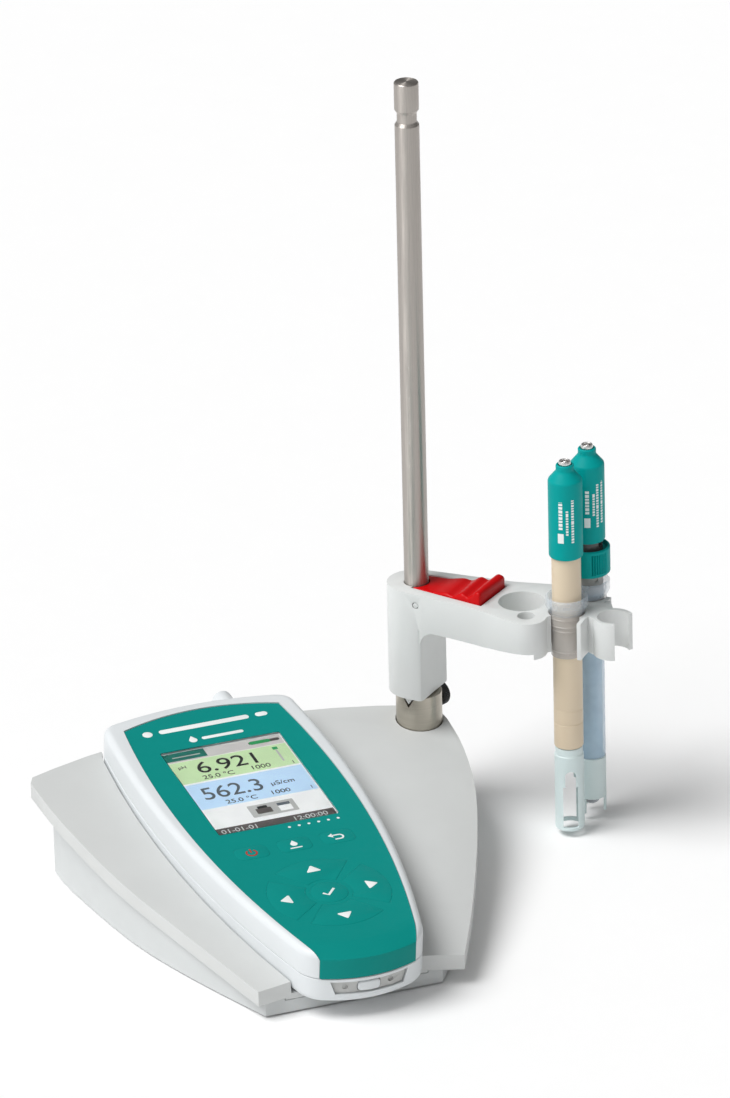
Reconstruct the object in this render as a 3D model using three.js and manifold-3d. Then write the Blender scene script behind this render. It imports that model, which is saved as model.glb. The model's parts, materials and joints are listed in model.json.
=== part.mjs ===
// Bench pH and conductivity meter: a hand-held instrument in the tray of a weighted base, and a stand
// rod that carries a holder arm with two electrodes. Millimetres, +Z up, +X to the right of the
// instrument, +Y from the keypad to the sockets. The finished group stands on z = 0, centred in X and Y.
import * as THREE from 'three';
import { mergeVertices } from 'three/addons/utils/BufferGeometryUtils.js';
import Module from 'manifold-3d';

const wasm = await Module();
wasm.setup();

// ---------- driving dimensions ----------
const GAP = 0.3;                 // clearance between pieces that meet
const FAR = 400;                 // reach of the large cutting solids

// base
const BASE_SLOPE = 0.145;        // rise of the wings towards the rear, mm per mm
const WING_TOP = 14;             // height of the wing surface at y = 0
const LIP = 6.5;                 // thickness of the overhanging top plate
const SKIN = 2.4;                // wall of the moulded cover
const SKIRT_WALL = 2.5;
const SKIRT_BOTTOM = 0.8;
const PLATE = { bottom: 1.3, thickness: 3 };
const FOOT = { radius: 6, height: 1 };
const REAR_ARC = { x: 12, y: -76, radius: 260 };

// stand
const ROD = { x: 93, y: 160.5, radius: 5, bottom: 4.6, top: 318.6, chamfer: 0.5 };
const ROD_GROOVE = { radius: 4.05, bottom: 300.6, top: 306.6 };
const ROD_HOLE = 5.35;
const RING = { radius: 9.5, bottom: 35.4, top: 50.5 };
const NOTCH = { width: 5, depth: 4.5 };
const ROD_BOLT = { head: 3.8, headHeight: 1.6, shank: 2.2, reach: 14 };
const KNOB = { radius: 5.2, start: 10, length: 4, turn: 75, z: 44.6 };

// holder arm, in its own frame: u along the arm from the rod axis, v across it
const ARM_TURN = -49;            // direction of the arm in the plan, degrees from +X
const ARM = { top: 99, bottom: 83, leg: 51.2, endU: 12.3, endV: 11.7 };
const LEVER = { floor: 88.5, bottom: 91.6, end: 35, pivotU: 5.3, pivotZ: 93.9 };
const LEVER_SPRING = { u: 15, radius: 2.6, bottom: 85.2, top: 91.3 };
const PIN = { radius: 1.2, front: -11.6, frontTip: -5.3, rearTip: 6.5, rear: 12 };
const BIG_HOLE = { u: 47.8, v: 0.4, radius: 9.6 };
const SMALL_HOLE = { u: 55.6, v: -11.4, radius: 3.6 };
const NOSE_END = { u: 56.9, v: -12.3, radius: 7.5 };
const CELL = { u: 68.8, v: -0.7, bore: 7.6, wall: 2, open: -72, gap: 50 };
const PH = { u: 69.6, v: 17.8, bore: 7.6, wall: 2, open: 60, gap: 52 };
const SPARE = { u: 88.1, v: 2.6, bore: 6.6, wall: 1.7, open: -6.5, gap: 54 };
const JAW = 0.85;                // half the thickness of a free-standing clip jaw

// electrodes
const SHAFT = 6;
const FRONT = -58;               // direction that the electrodes' windows and openings face, degrees from u
const HEAD = { radius: 7, bottom: 124.1, shoulder: 157.4, neckBase: 161.5, neckTop: 164.4, neck: 3.7 };
const SLEEVE = { rim: 8.7, rimTop: 106.3, rimBottom: 102.2, cone: 99.3, cup: 7.2, bottom: 80.6, bore: 6.3 };
const TIP = 2.8;

// instrument, in its own frame: x across, y along, z out of the front panel, z = 0 on the panel
const METER = { x: 1.2, height: 32, slope: 0.115 };
const CASE = { half: 43.5, waist: 125, curve: 0.001, nose: -18.5, noseSide: -14.3, rear: 183 };
const PANEL = { half: 37.6, waist: 110, curve: 0.00108, rearCorner: 170.5, rear: 177 };
const CASE_BOTTOM = -22.5;
const SEAM = -11.5;
const CASE_WALL = 2.3;
const FACET = { y: -5.5, drop: 2.2, run: 12 };
const PANEL_THICK = 1;
const WINDOW = { x: 26, bottom: 83, top: 150 };
const KEY = { pitch: 18.4, row: 66.5, hub: 28.6, up: 19.2, cap: 0.9, proud: 0.2, stem: 3.2 };
const RING_KEY = { inner: 9.6, outer: 25, spread: 76 };
const END = { top: -12.8, bottom: -18.6, halfTop: 16.5, halfBottom: 14.5 };

// ---------- solids from three.js geometry ----------
function solid(geometry) {
  const bare = geometry.index ? geometry.toNonIndexed() : geometry.clone();
  bare.deleteAttribute('normal');
  bare.deleteAttribute('uv');
  const merged = mergeVertices(bare, 1e-4);
  const vertProperties = new Float32Array(merged.attributes.position.array);
  const triVerts = new Uint32Array(merged.index.array);
  return new wasm.Manifold(new wasm.Mesh({ numProp: 3, vertProperties, triVerts }));
}

function geometryOf(body) {
  const mesh = body.getMesh();
  const geometry = new THREE.BufferGeometry();
  geometry.setAttribute('position', new THREE.BufferAttribute(new Float32Array(mesh.vertProperties), 3));
  geometry.setIndex(new THREE.BufferAttribute(new Uint32Array(mesh.triVerts), 1));
  geometry.computeVertexNormals();
  return geometry;
}

const radians = (degrees) => (degrees * Math.PI) / 180;

function shapeOf(points) {
  return new THREE.Shape(points.map(([x, y]) => new THREE.Vector2(x, y)));
}

// prism of a plan outline between two heights
function prism(shape, bottom, top, curveSegments = 4) {
  const options = { depth: top - bottom, bevelEnabled: false, curveSegments };
  const geometry = new THREE.ExtrudeGeometry(shape, options);
  geometry.translate(0, 0, bottom);
  return solid(geometry);
}

// prism of an outline drawn in the y-z plane, from x = left to x = right
function sidePrism(points, left, right) {
  const geometry = new THREE.ExtrudeGeometry(shapeOf(points), { depth: right - left, bevelEnabled: false });
  const turn = new THREE.Matrix4().makeBasis(
    new THREE.Vector3(0, 1, 0), new THREE.Vector3(0, 0, 1), new THREE.Vector3(1, 0, 0));
  geometry.applyMatrix4(turn);
  geometry.translate(left, 0, 0);
  return solid(geometry);
}

// everything between the planes z = low + slope * y and z = high + slope * y
function sloped(low, high, slope) {
  return sidePrism([[-FAR, low - FAR * slope], [FAR, low + FAR * slope],
    [FAR, high + FAR * slope], [-FAR, high - FAR * slope]], -FAR, FAR);
}

function box(x0, x1, y0, y1, z0, z1) {
  const geometry = new THREE.BoxGeometry(x1 - x0, y1 - y0, z1 - z0);
  geometry.translate((x0 + x1) / 2, (y0 + y1) / 2, (z0 + z1) / 2);
  return solid(geometry);
}

function cylinder(x, y, radius, bottom, top, sides = 24) {
  const geometry = new THREE.CylinderGeometry(radius, radius, top - bottom, sides);
  geometry.rotateX(Math.PI / 2);
  geometry.translate(x, y, (bottom + top) / 2);
  return solid(geometry);
}

// turned piece about the z axis from [radius, z] points that start and end on the axis or close up
function turned(profile, sides = 24) {
  const points = profile.map(([radius, z]) => new THREE.Vector2(radius, z));
  const geometry = new THREE.LatheGeometry(points, sides);
  geometry.rotateX(Math.PI / 2);
  const body = solid(geometry);
  return body.volume() < 0 ? solid(flipped(geometry)) : body;
}

function flipped(geometry) {
  const index = geometry.index.array;
  for (let i = 0; i < index.length; i += 3) {
    [index[i], index[i + 1]] = [index[i + 1], index[i]];
  }
  return geometry;
}

function tube(inner, outer, bottom, top, sides = 32) {
  const bore = cylinder(0, 0, inner, bottom - 1, top + 1, sides);
  return cylinder(0, 0, outer, bottom, top, sides).subtract(bore);
}

function moved(body, x, y, z = 0) {
  return body.translate([x, y, z]);
}

// outline shrunk by a distance, each corner moved along the mean of its two edge normals
function inset(points, distance) {
  const count = points.length;
  return points.map((point, i) => {
    const before = points[(i + count - 1) % count];
    const after = points[(i + 1) % count];
    const a = new THREE.Vector2(point[0] - before[0], point[1] - before[1]).normalize();
    const b = new THREE.Vector2(after[0] - point[0], after[1] - point[1]).normalize();
    const normal = new THREE.Vector2(-(a.y + b.y), a.x + b.x).normalize();
    const stretch = distance / Math.max(0.5, normal.dot(new THREE.Vector2(-a.y, a.x)));
    return [point[0] + normal.x * stretch, point[1] + normal.y * stretch];
  });
}

// smooth curve through a few points, without its last point
function smooth(points, steps) {
  const curve = new THREE.SplineCurve(points.map(([x, y]) => new THREE.Vector2(x, y)));
  return curve.getPoints(steps).slice(0, -1).map((point) => [point.x, point.y]);
}

// ---------- scene graph ----------
const assembly = new THREE.Group();
const instrument = new THREE.Group();
const tilt = Math.atan(METER.slope);
instrument.position.set(METER.x, 0, METER.height);
instrument.rotation.x = tilt;
const holder = new THREE.Group();
holder.position.set(ROD.x, ROD.y, 0);
holder.rotation.z = radians(ARM_TURN);
assembly.add(instrument, holder);

const finishes = {
  whitePlastic: [0xdfe3e4, 0.45, 0],
  greyPlastic: [0xcdcfcf, 0.5, 0],
  teal: [0x008a80, 0.4, 0],
  tealSoft: [0x00968a, 0.5, 0],
  red: [0xd7191c, 0.25, 0],
  steel: [0xa8a49e, 0.35, 1],
  nickel: [0xc4bcb0, 0.25, 1],
  black: [0x1c1c1e, 0.6, 0],
  rubber: [0x2a2a2c, 0.9, 0],
  clear: [0xcfd8e0, 0.1, 0],
  beige: [0xdcc9a8, 0.5, 0],
  guard: [0xdcebe8, 0.4, 0],
  frosted: [0x9c9a9a, 0.6, 0],
  board: [0x1f6b3a, 0.6, 0],
  display: [0xb9d7b0, 0.3, 0],
};

function piece(parent, name, body, finish) {
  const [color, roughness, metalness] = finishes[finish];
  const material = new THREE.MeshStandardMaterial({ color, roughness, metalness });
  const mesh = new THREE.Mesh(geometryOf(body), material);
  mesh.name = name;
  parent.add(mesh);
  return mesh;
}

// ---------- outlines ----------
const arcY = (x) => REAR_ARC.y + Math.sqrt(REAR_ARC.radius ** 2 - (x - REAR_ARC.x) ** 2);

// plan of the wings: narrow at the keypad end, wider on the side that carries the rod
function lipOutline() {
  const right = smooth([[45.6, -4.4], [61.9, 27.1], [82.9, 73.2],
    [95.8, 107.4], [102.1, 135.7], [103.6, 153]], 14);
  const corner = smooth([[103.6, 153], [103.2, 162], [97, arcY(97)]], 4);
  const rear = [97, 80, 62, 44, 26, 8, -10, -28, -46, -62].map((x) => [x, arcY(x)]);
  const left = smooth([[-74.6, 166], [-72.8, 135.7], [-66.2, 90], [-55.6, 48.1], [-41.6, -2.7]], 12);
  return [...right, ...corner, ...rear, [-72.5, arcY(-72.5)], ...left, [-41.6, -2.7], [-27, 0], [30, 0]];
}

// plan of the skirt under the wings; it is set back least where the rod stands
function skirtOutline() {
  const right = smooth([[37.8, 0], [55.5, 27], [78, 73.5], [92.5, 109], [99.6, 135], [101, 152]], 12);
  const corner = smooth([[101, 152], [101.2, 161.5], [95, arcY(95) - 2.6]], 4);
  const setback = (x) => 2.6 + 5.4 * THREE.MathUtils.smoothstep(84 - x, 0, 60);
  const rear = [95, 78, 60, 42, 20, -5, -30, -50].map((x) => [x, arcY(x) - setback(x)]);
  const left = smooth([[-68.3, 158], [-68.4, 138], [-62.6, 84], [-52, 42], [-37.8, 0]], 12);
  return [...right, ...corner, ...rear, [-65.5, arcY(-65.5) - 8.4], ...left, [-37.8, 0]];
}

const caseHalf = (y) => CASE.half - CASE.curve * (y - CASE.waist) ** 2;
const panelHalf = (y) => PANEL.half - PANEL.curve * (y - PANEL.waist) ** 2;

// plan of the instrument's casing, pulled in by a distance
function caseShape(pull = 0) {
  const shape = new THREE.Shape();
  const sideFront = -3;
  const sideRear = 171;
  const half = (y) => caseHalf(y) - pull;
  const nose = CASE.nose + pull;
  const noseSide = CASE.noseSide + pull;
  const noseHalf = 19;
  shape.moveTo(noseHalf, noseSide);
  shape.quadraticCurveTo(half(sideFront) - 1.2, noseSide + 3.2, half(sideFront), sideFront);
  const side = (i) => sideFront + (i * (sideRear - sideFront)) / 8;
  for (let i = 1; i <= 8; i += 1) {
    shape.lineTo(half(side(i)), side(i));
  }
  const rearSide = CASE.rear - 4.5 - pull;
  shape.quadraticCurveTo(half(sideRear), rearSide, half(sideRear) - 8, rearSide + 1);
  shape.quadraticCurveTo(0, CASE.rear + 3.5 - pull, -half(sideRear) + 8, rearSide + 1);
  shape.quadraticCurveTo(-half(sideRear), rearSide, -half(sideRear), sideRear);
  for (let i = 7; i >= 0; i -= 1) {
    shape.lineTo(-half(side(i)), side(i));
  }
  shape.quadraticCurveTo(-half(sideFront) + 1.2, noseSide + 3.2, -noseHalf, noseSide);
  shape.quadraticCurveTo(0, 2 * nose - noseSide, noseHalf, noseSide);
  return shape;
}

// plan of the coloured front panel; grow widens its sides, front moves its front edge
function panelShape(grow = 0, front = 0) {
  const shape = new THREE.Shape();
  const half = (y) => panelHalf(y) + grow;
  const nose = CASE.nose + front;
  const noseSide = CASE.noseSide + 0.2 + front;
  const noseHalf = 20.3 + grow;
  const shoulder = -4;
  shape.moveTo(noseHalf, noseSide);
  shape.lineTo(half(shoulder) - 0.6, shoulder - 3);
  shape.lineTo(half(shoulder), shoulder);
  const side = (i) => shoulder + (i * (PANEL.rearCorner - shoulder)) / 8;
  for (let i = 1; i <= 8; i += 1) {
    shape.lineTo(half(side(i)), side(i));
  }
  const corner = [half(PANEL.rearCorner), PANEL.rearCorner + grow];
  shape.lineTo(corner[0], corner[1]);
  shape.quadraticCurveTo(0, 2 * PANEL.rear - PANEL.rearCorner + grow, -corner[0], corner[1]);
  for (let i = 7; i >= 0; i -= 1) {
    shape.lineTo(-half(side(i)), side(i));
  }
  shape.lineTo(-half(shoulder) + 0.6, shoulder - 3);
  shape.lineTo(-noseHalf, noseSide);
  shape.quadraticCurveTo(0, 2 * nose - noseSide, noseHalf, noseSide);
  return shape;
}

function roundedRect(x, y, halfX, halfY, radius) {
  const shape = new THREE.Shape();
  shape.moveTo(x - halfX + radius, y - halfY);
  shape.lineTo(x + halfX - radius, y - halfY);
  shape.absarc(x + halfX - radius, y - halfY + radius, radius, -Math.PI / 2, 0);
  shape.absarc(x + halfX - radius, y + halfY - radius, radius, 0, Math.PI / 2);
  shape.absarc(x - halfX + radius, y + halfY - radius, radius, Math.PI / 2, Math.PI);
  shape.absarc(x - halfX + radius, y - halfY + radius, radius, Math.PI, 1.5 * Math.PI);
  return shape;
}

// sector of the arrow ring about the middle key, grown all round by a distance
function sectorShape(middle, grow = 0) {
  const shape = new THREE.Shape();
  const inner = RING_KEY.inner - grow;
  const outer = RING_KEY.outer + grow;
  const half = (radius) => radians(RING_KEY.spread / 2) + grow / radius;
  const angle = radians(middle);
  shape.absarc(0, KEY.hub, outer, angle - half(outer), angle + half(outer), false);
  shape.absarc(0, KEY.hub, inner, angle + half(inner), angle - half(inner), true);
  return shape;
}

const keyShapes = {
  key_power: (grow) => roundedRect(-KEY.pitch, KEY.row, 7 + grow, 4.6 + grow, 3 + grow),
  key_cal: (grow) => roundedRect(0, KEY.row, 7 + grow, 4.6 + grow, 3 + grow),
  key_back: (grow) => roundedRect(KEY.pitch, KEY.row, 7 + grow, 4.6 + grow, 3 + grow),
  key_right: (grow) => sectorShape(0, grow),
  key_up: (grow) => sectorShape(90, grow),
  key_left: (grow) => sectorShape(180, grow),
  key_down: (grow) => sectorShape(270, grow),
  key_ok: (grow) => new THREE.Shape().absarc(0, KEY.hub, 7.6 + grow, 0, 2 * Math.PI),
};

const keyCentres = {
  key_power: [-KEY.pitch, KEY.row],
  key_cal: [0, KEY.row],
  key_back: [KEY.pitch, KEY.row],
  key_right: [KEY.up - 1.5, KEY.hub],
  key_up: [0, KEY.hub + KEY.up - 1.5],
  key_left: [-KEY.up + 1.5, KEY.hub],
  key_down: [0, KEY.hub - KEY.up + 1.5],
  key_ok: [0, KEY.hub],
};

// ---------- base ----------
function intoBase(body) {
  return body.rotate([THREE.MathUtils.radToDeg(tilt), 0, 0]).translate([METER.x, 0, METER.height]);
}

// space that the instrument and its cables take in the base, grown by a distance
function trayPocket(grow) {
  const channel = box(-40.4 - grow, 40.4 + grow, 150, 220, CASE_BOTTOM - 0.5 - grow, 30);
  return intoBase(prism(caseShape(-0.7 - grow), CASE_BOTTOM - 0.5 - grow, 30).add(channel));
}

function makeBase() {
  const lip = prism(shapeOf(lipOutline()), -20, 60);
  const skirtPlan = skirtOutline();
  const underLip = WING_TOP - LIP;
  const slab = lip.intersect(sloped(underLip, WING_TOP, BASE_SLOPE));
  const cavity = prism(shapeOf(inset(skirtPlan, SKIRT_WALL + 0.8)), -20, 60)
    .intersect(sloped(-FAR, WING_TOP - SKIN, BASE_SLOPE));
  const trough = trayPocket(SKIN)
    .intersect(prism(shapeOf(skirtPlan), -20, 60))
    .intersect(sloped(-FAR, WING_TOP, BASE_SLOPE));
  const boss = cylinder(ROD.x, ROD.y, 13, 32, 45).intersect(sloped(-FAR, WING_TOP, BASE_SLOPE))
    .intersect(prism(shapeOf(inset(skirtPlan, SKIRT_WALL + GAP)), 0, 60));
  const cover = slab.subtract(cavity).add(trough).add(boss)
    .subtract(trayPocket(0))
    .subtract(cylinder(ROD.x, ROD.y, RING.radius + 0.4, RING.bottom - GAP, 60))
    .subtract(cylinder(ROD.x, ROD.y, ROD_HOLE, 0, 60));
  piece(assembly, 'base_cover', cover, 'greyPlastic');

  const ring = prism(shapeOf(skirtPlan), SKIRT_BOTTOM, 60)
    .subtract(prism(shapeOf(inset(skirtPlan, SKIRT_WALL)), 0, 61));
  const skirt = ring.intersect(sloped(-FAR, underLip - GAP, BASE_SLOPE)).subtract(trayPocket(SKIN + GAP))
    .subtract(cylinder(ROD.x, ROD.y, ROD.radius + GAP, 0, 60));
  piece(assembly, 'base_skirt', skirt, 'whitePlastic');

  const platePlan = shapeOf(inset(skirtPlan, SKIRT_WALL + GAP));
  const plate = prism(platePlan, PLATE.bottom, PLATE.bottom + PLATE.thickness)
    .subtract(cylinder(ROD.x, ROD.y, ROD_BOLT.shank + GAP, 0, 10))
    .subtract(cylinder(ROD.x, ROD.y, ROD_BOLT.head + GAP, 0, PLATE.bottom + ROD_BOLT.headHeight + GAP));
  piece(assembly, 'base_weight', plate, 'steel');

  const feet = { front_left: [-30, 12], front_right: [32, 12], rear_left: [-58, 156], rear_right: [84, 146] };
  for (const [place, [x, y]] of Object.entries(feet)) {
    piece(assembly, `foot_${place}`, cylinder(x, y, FOOT.radius, 0, FOOT.height, 24), 'rubber');
  }
}

// ---------- stand rod, stop ring and its thumb screw ----------
function makeStand() {
  const groove = ROD_GROOVE;
  const rod = turned([[0, ROD.bottom], [ROD.radius, ROD.bottom], [ROD.radius, groove.bottom - 1],
    [groove.radius, groove.bottom], [groove.radius, groove.top], [ROD.radius, groove.top + 1],
    [ROD.radius, ROD.top - ROD.chamfer], [ROD.radius - ROD.chamfer, ROD.top], [0, ROD.top]])
    .subtract(cylinder(0, 0, ROD_BOLT.shank + GAP, 0, ROD.bottom + ROD_BOLT.reach + 1, 20));
  piece(assembly, 'stand_rod', moved(rod, ROD.x, ROD.y), 'steel');

  const headTop = PLATE.bottom + ROD_BOLT.headHeight;
  const boltTop = ROD.bottom + ROD_BOLT.reach;
  const bolt = turned([[0, PLATE.bottom], [ROD_BOLT.head, PLATE.bottom], [ROD_BOLT.head, headTop],
    [ROD_BOLT.shank, headTop], [ROD_BOLT.shank, boltTop], [0, boltTop]], 20);
  piece(assembly, 'rod_bolt', moved(bolt, ROD.x, ROD.y), 'steel');

  const notch = sidePrism([[-NOTCH.width / 2 - 0.6, RING.top + 0.6], [0, RING.top - NOTCH.depth],
    [NOTCH.width / 2 + 0.6, RING.top + 0.6]], 0, 20).rotate([0, 0, -90]);
  const knobAxis = [0, 0, KNOB.turn];
  const alongKnob = (body) => body.rotate([0, 90, 0]).rotate(knobAxis).translate([0, 0, KNOB.z]);
  const ring = tube(ROD.radius + GAP, RING.radius, RING.bottom, RING.top, 40)
    .subtract(notch)
    .subtract(alongKnob(cylinder(0, 0, 2.1, 0, 20, 20)));
  piece(holder, 'stop_ring', ring, 'nickel');

  const ribs = 16;
  const head = turned([[0, KNOB.start], [KNOB.radius - 0.5, KNOB.start], [KNOB.radius, KNOB.start + 0.5],
    [KNOB.radius, KNOB.start + KNOB.length - 0.5], [KNOB.radius - 0.5, KNOB.start + KNOB.length],
    [0, KNOB.start + KNOB.length]], ribs * 2);
  const shank = cylinder(0, 0, 1.7, ROD.radius + 0.35, KNOB.start + 0.5, 16);
  let screw = head.add(shank);
  for (let i = 0; i < ribs; i += 1) {
    const angle = (2 * Math.PI * i) / ribs;
    const groovePlace = [(KNOB.radius + 0.25) * Math.cos(angle), (KNOB.radius + 0.25) * Math.sin(angle)];
    screw = screw.subtract(cylinder(...groovePlace, 0.45, KNOB.start - 1, KNOB.start + KNOB.length + 1, 6));
  }
  piece(holder, 'ring_screw', alongKnob(screw), 'black');
}

// ---------- holder arm ----------
// round end of the arm about the rod, counter-clockwise from its back to its front
function roundEnd() {
  const points = [];
  for (let angle = 96; angle <= 264; angle += 14) {
    points.push([ARM.endU * Math.cos(radians(angle)), ARM.endV * Math.sin(radians(angle))]);
  }
  return points;
}

// plan outline of the arm, from its round end to the clips
function armOutline() {
  const front = smooth([[8.5, -11.9], [19.7, -12.9], [30.6, -14], [39, -15.3],
    [48.2, -18.1], [55, -19.6]], 9);
  const nose = [];
  for (let angle = -105; angle <= 5; angle += 22) {
    nose.push([NOSE_END.u + NOSE_END.radius * Math.cos(radians(angle)),
      NOSE_END.v + NOSE_END.radius * Math.sin(radians(angle))]);
  }
  const tip = [[63.8, -8.6], [66, 4], [70, 8.4], [66, 19]];
  const back = smooth([[63.5, 25], [58, 22.7], [50.9, 20.4], [42.7, 18.2], [34.2, 16], [13.2, 13.4]], 9);
  return [...roundEnd(), ...front, ...nose, ...tip, ...back, [13.2, 13.4]];
}

// outline of a strip of even width along a line of points
function strip(points, halfWidth) {
  const sides = [1, -1].map((side) => points.map((point, i) => {
    const [a, b] = [points[Math.max(0, i - 1)], points[Math.min(points.length - 1, i + 1)]];
    const along = new THREE.Vector2(b[0] - a[0], b[1] - a[1]).normalize();
    return [point[0] - side * along.y * halfWidth, point[1] + side * along.x * halfWidth];
  }));
  return shapeOf([...sides[0].reverse(), ...sides[1]]);
}

// collar of a spring clip, open over the gap
function clipCollar({ u, v, bore, wall, open, gap }) {
  const far = 30;
  const across = far * Math.tan(radians(gap));
  const wedge = prism(shapeOf([[0, 0], [far, -across], [far, across]]), 0, 200);
  return cylinder(0, 0, bore + wall, ARM.bottom, ARM.top, 32)
    .subtract(wedge)
    .rotate([0, 0, open])
    .translate([u, v, 0]);
}

function leverShape(grow) {
  return shapeOf([[0.9 - grow, -6.2 - grow], [LEVER.end - 0.4 + grow, -10.5 - grow],
    [LEVER.end + 0.4 + grow, 11.2 + grow], [1.6 - grow, 7.9 + grow]]);
}

function makeHolder() {
  const legOutline = [...roundEnd(), [2, -11.75], [6, -11.85], [7, -11.3], [7.4, -10.2],
    [7.4, 10.4], [7, 11.6], [6, 12.1], [2, 11.95]];
  const plan = shapeOf(armOutline());
  const fillet = sidePrism([[0, 0], [6, 0], [4.1, -0.6], [2.2, -1.8], [0.8, -3.6], [0, -6]], -20, 20)
    .rotate([0, 0, -90])
    .translate([7, 0, ARM.bottom])
    .intersect(prism(plan, ARM.leg, ARM.top));
  const underNose = sidePrism([[38, 82], [62, 82], [62, 85.4], [57, 85.4], [38, 83]], 7.6, 25)
    .rotate([0, 0, -90]);
  const hub = shapeOf([[74, 7], [77, -1], [78.9, -1.5], [81.2, -2.6], [82.5, -1], [82, 3], [82.8, 7.5],
    [84.6, 9.6], [82.4, 12.8], [80.4, 14], [77, 13.5], [73, 10]]);
  const cellJaw = strip([[77.9, 3], [77.8, -2], [78.1, -6], [78.7, -10]], JAW);
  const phJaw = strip([[78.9, 9], [79.4, 12.5], [80.3, 15.4]], JAW);
  const clips = [CELL, PH, SPARE];
  let arm = prism(plan, ARM.bottom, ARM.top)
    .subtract(underNose)
    .add(prism(shapeOf(legOutline), ARM.leg, ARM.bottom + 2))
    .add(fillet);
  for (const shape of [hub, cellJaw, phJaw]) {
    arm = arm.add(prism(shape, ARM.bottom, ARM.top));
  }
  for (const clip of clips) {
    arm = arm.add(clipCollar(clip));
  }
  for (const { u, v, bore } of clips) {
    arm = arm.subtract(cylinder(u, v, bore, 0, 200, 28));
  }
  for (const { u, v, radius } of [BIG_HOLE, SMALL_HOLE]) {
    arm = arm.subtract(cylinder(u, v, radius, 0, 200, 32));
  }
  const nose = sidePrism([[-NOTCH.width / 2, ARM.leg + 1], [-NOTCH.width / 2, ARM.leg],
    [0, RING.top - NOTCH.depth + 1.6], [NOTCH.width / 2, ARM.leg], [NOTCH.width / 2, ARM.leg + 1]], 6.2, 9.2)
    .rotate([0, 0, -90]);
  const springPocket = LEVER_SPRING.radius + 0.8;
  arm = arm.add(nose)
    .subtract(prism(leverShape(GAP), LEVER.floor, 200))
    .subtract(cylinder(0, 0, ROD.radius + GAP, 0, 200, 32))
    .subtract(cylinder(LEVER_SPRING.u, 0, springPocket, LEVER_SPRING.bottom - GAP, LEVER.floor + 1, 20))
    .subtract(pinAt(PIN.radius + GAP, -13, 13.2));
  piece(holder, 'holder_arm', arm, 'whitePlastic');

  piece(holder, 'release_lever', leverBody(), 'red');
  piece(holder, 'lever_pin_front', pinAt(PIN.radius, PIN.front, PIN.frontTip), 'whitePlastic');
  piece(holder, 'lever_pin_rear', pinAt(PIN.radius, PIN.rearTip, PIN.rear), 'whitePlastic');
  piece(holder, 'lever_spring', springBody(), 'steel');
}

// round pin across the arm at the lever's pivot
function pinAt(radius, from, to) {
  return cylinder(0, 0, radius, from, to, 16).rotate([-90, 0, 0]).translate([LEVER.pivotU, 0, LEVER.pivotZ]);
}

// lever: flat at the rod, then two grip ridges and a tall hump at its free end
function leverBody() {
  const { end, bottom } = LEVER;
  const heights = [[0, 0], [8, 0.1], [13, 0.4], [16.6, 1.1], [18.4, 1.2], [20.4, 0.9], [23.6, 2.4],
    [25.4, 2.9], [28, 2.1], [30.8, 4.6], [32.6, 5.3], [34.1, 4.8]];
  const profile = heights.map(([u, height]) => [u, ARM.top + height]);
  profile.push([end - 0.2, ARM.top + 3.6], [end + 0.5, bottom + 3], [end + 0.5, bottom + 1.4],
    [end - 1.4, bottom], [0, bottom]);
  return sidePrism(profile, -20, 20).rotate([0, 0, -90])
    .intersect(prism(leverShape(0), 0, 200))
    .subtract(cylinder(0, 0, ROD.radius + 0.6, 0, 200, 32))
    .subtract(pinAt(PIN.radius + GAP, -20, PIN.frontTip + 0.5))
    .subtract(pinAt(PIN.radius + GAP, PIN.rearTip - 0.5, 20));
}

// compression spring under the lever
function springBody() {
  const { radius, bottom, top } = LEVER_SPRING;
  const steps = 40;
  const points = [];
  for (let i = 0; i <= steps; i += 1) {
    const angle = (2 * Math.PI * i) / 10;
    const z = bottom + 0.4 + ((top - bottom - 0.8) * i) / steps;
    points.push(new THREE.Vector3(radius * Math.cos(angle), radius * Math.sin(angle), z));
  }
  const wire = new THREE.Shape().absarc(0, 0, 0.35, 0, 2 * Math.PI);
  const path = new THREE.CatmullRomCurve3(points);
  const geometry = new THREE.ExtrudeGeometry(wire, { steps, extrudePath: path, curveSegments: 2 });
  geometry.translate(LEVER_SPRING.u, 0, 0);
  return solid(geometry);
}

// ---------- electrodes ----------
// holder sleeve: a tube that sits in a clip, with a wide cup on top
function sleeveBody() {
  const { rim, rimTop, rimBottom, cone, cup, bottom, bore } = SLEEVE;
  return turned([[bore, bottom], [6.75, bottom], [7.05, bottom + 2.4], [6.85, bottom + 5], [7, cone - 7],
    [7.3, cone - 5], [7.2, cone], [rim, rimBottom], [rim, rimTop - 0.5], [rim - 0.5, rimTop],
    [cup + 0.4, rimTop], [cup, rimTop - 0.5], [cup, cone + 2.2], [bore, cone + 1], [bore, bottom]], 24);
}

// plastic head: cone and neck above, bore for the shaft below, bore for the plug contact on top
function headBody(shaftBore) {
  const { radius, bottom, shoulder, neckBase, neckTop, neck } = HEAD;
  return turned([[0, bottom + 7], [shaftBore, bottom + 7], [shaftBore, bottom], [radius - 0.6, bottom],
    [radius, bottom + 0.6], [radius, shoulder - 0.6], [radius - 0.3, shoulder], [neck + 0.2, neckBase],
    [neck, neckBase + 0.3], [neck, neckTop - 0.3], [neck - 0.3, neckTop], [2.9, neckTop], [2.9, neckTop - 8],
    [0, neckTop - 8]], 24);
}

function socketBody() {
  const top = HEAD.neckTop + 1.5;
  return turned([[0, top - 9], [2.55, top - 9], [2.55, top - 0.3], [2.25, top], [1.6, top], [1.6, top - 3],
    [0.6, top - 3], [0.6, top - 0.6], [0, top - 0.6]], 20);
}

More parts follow.
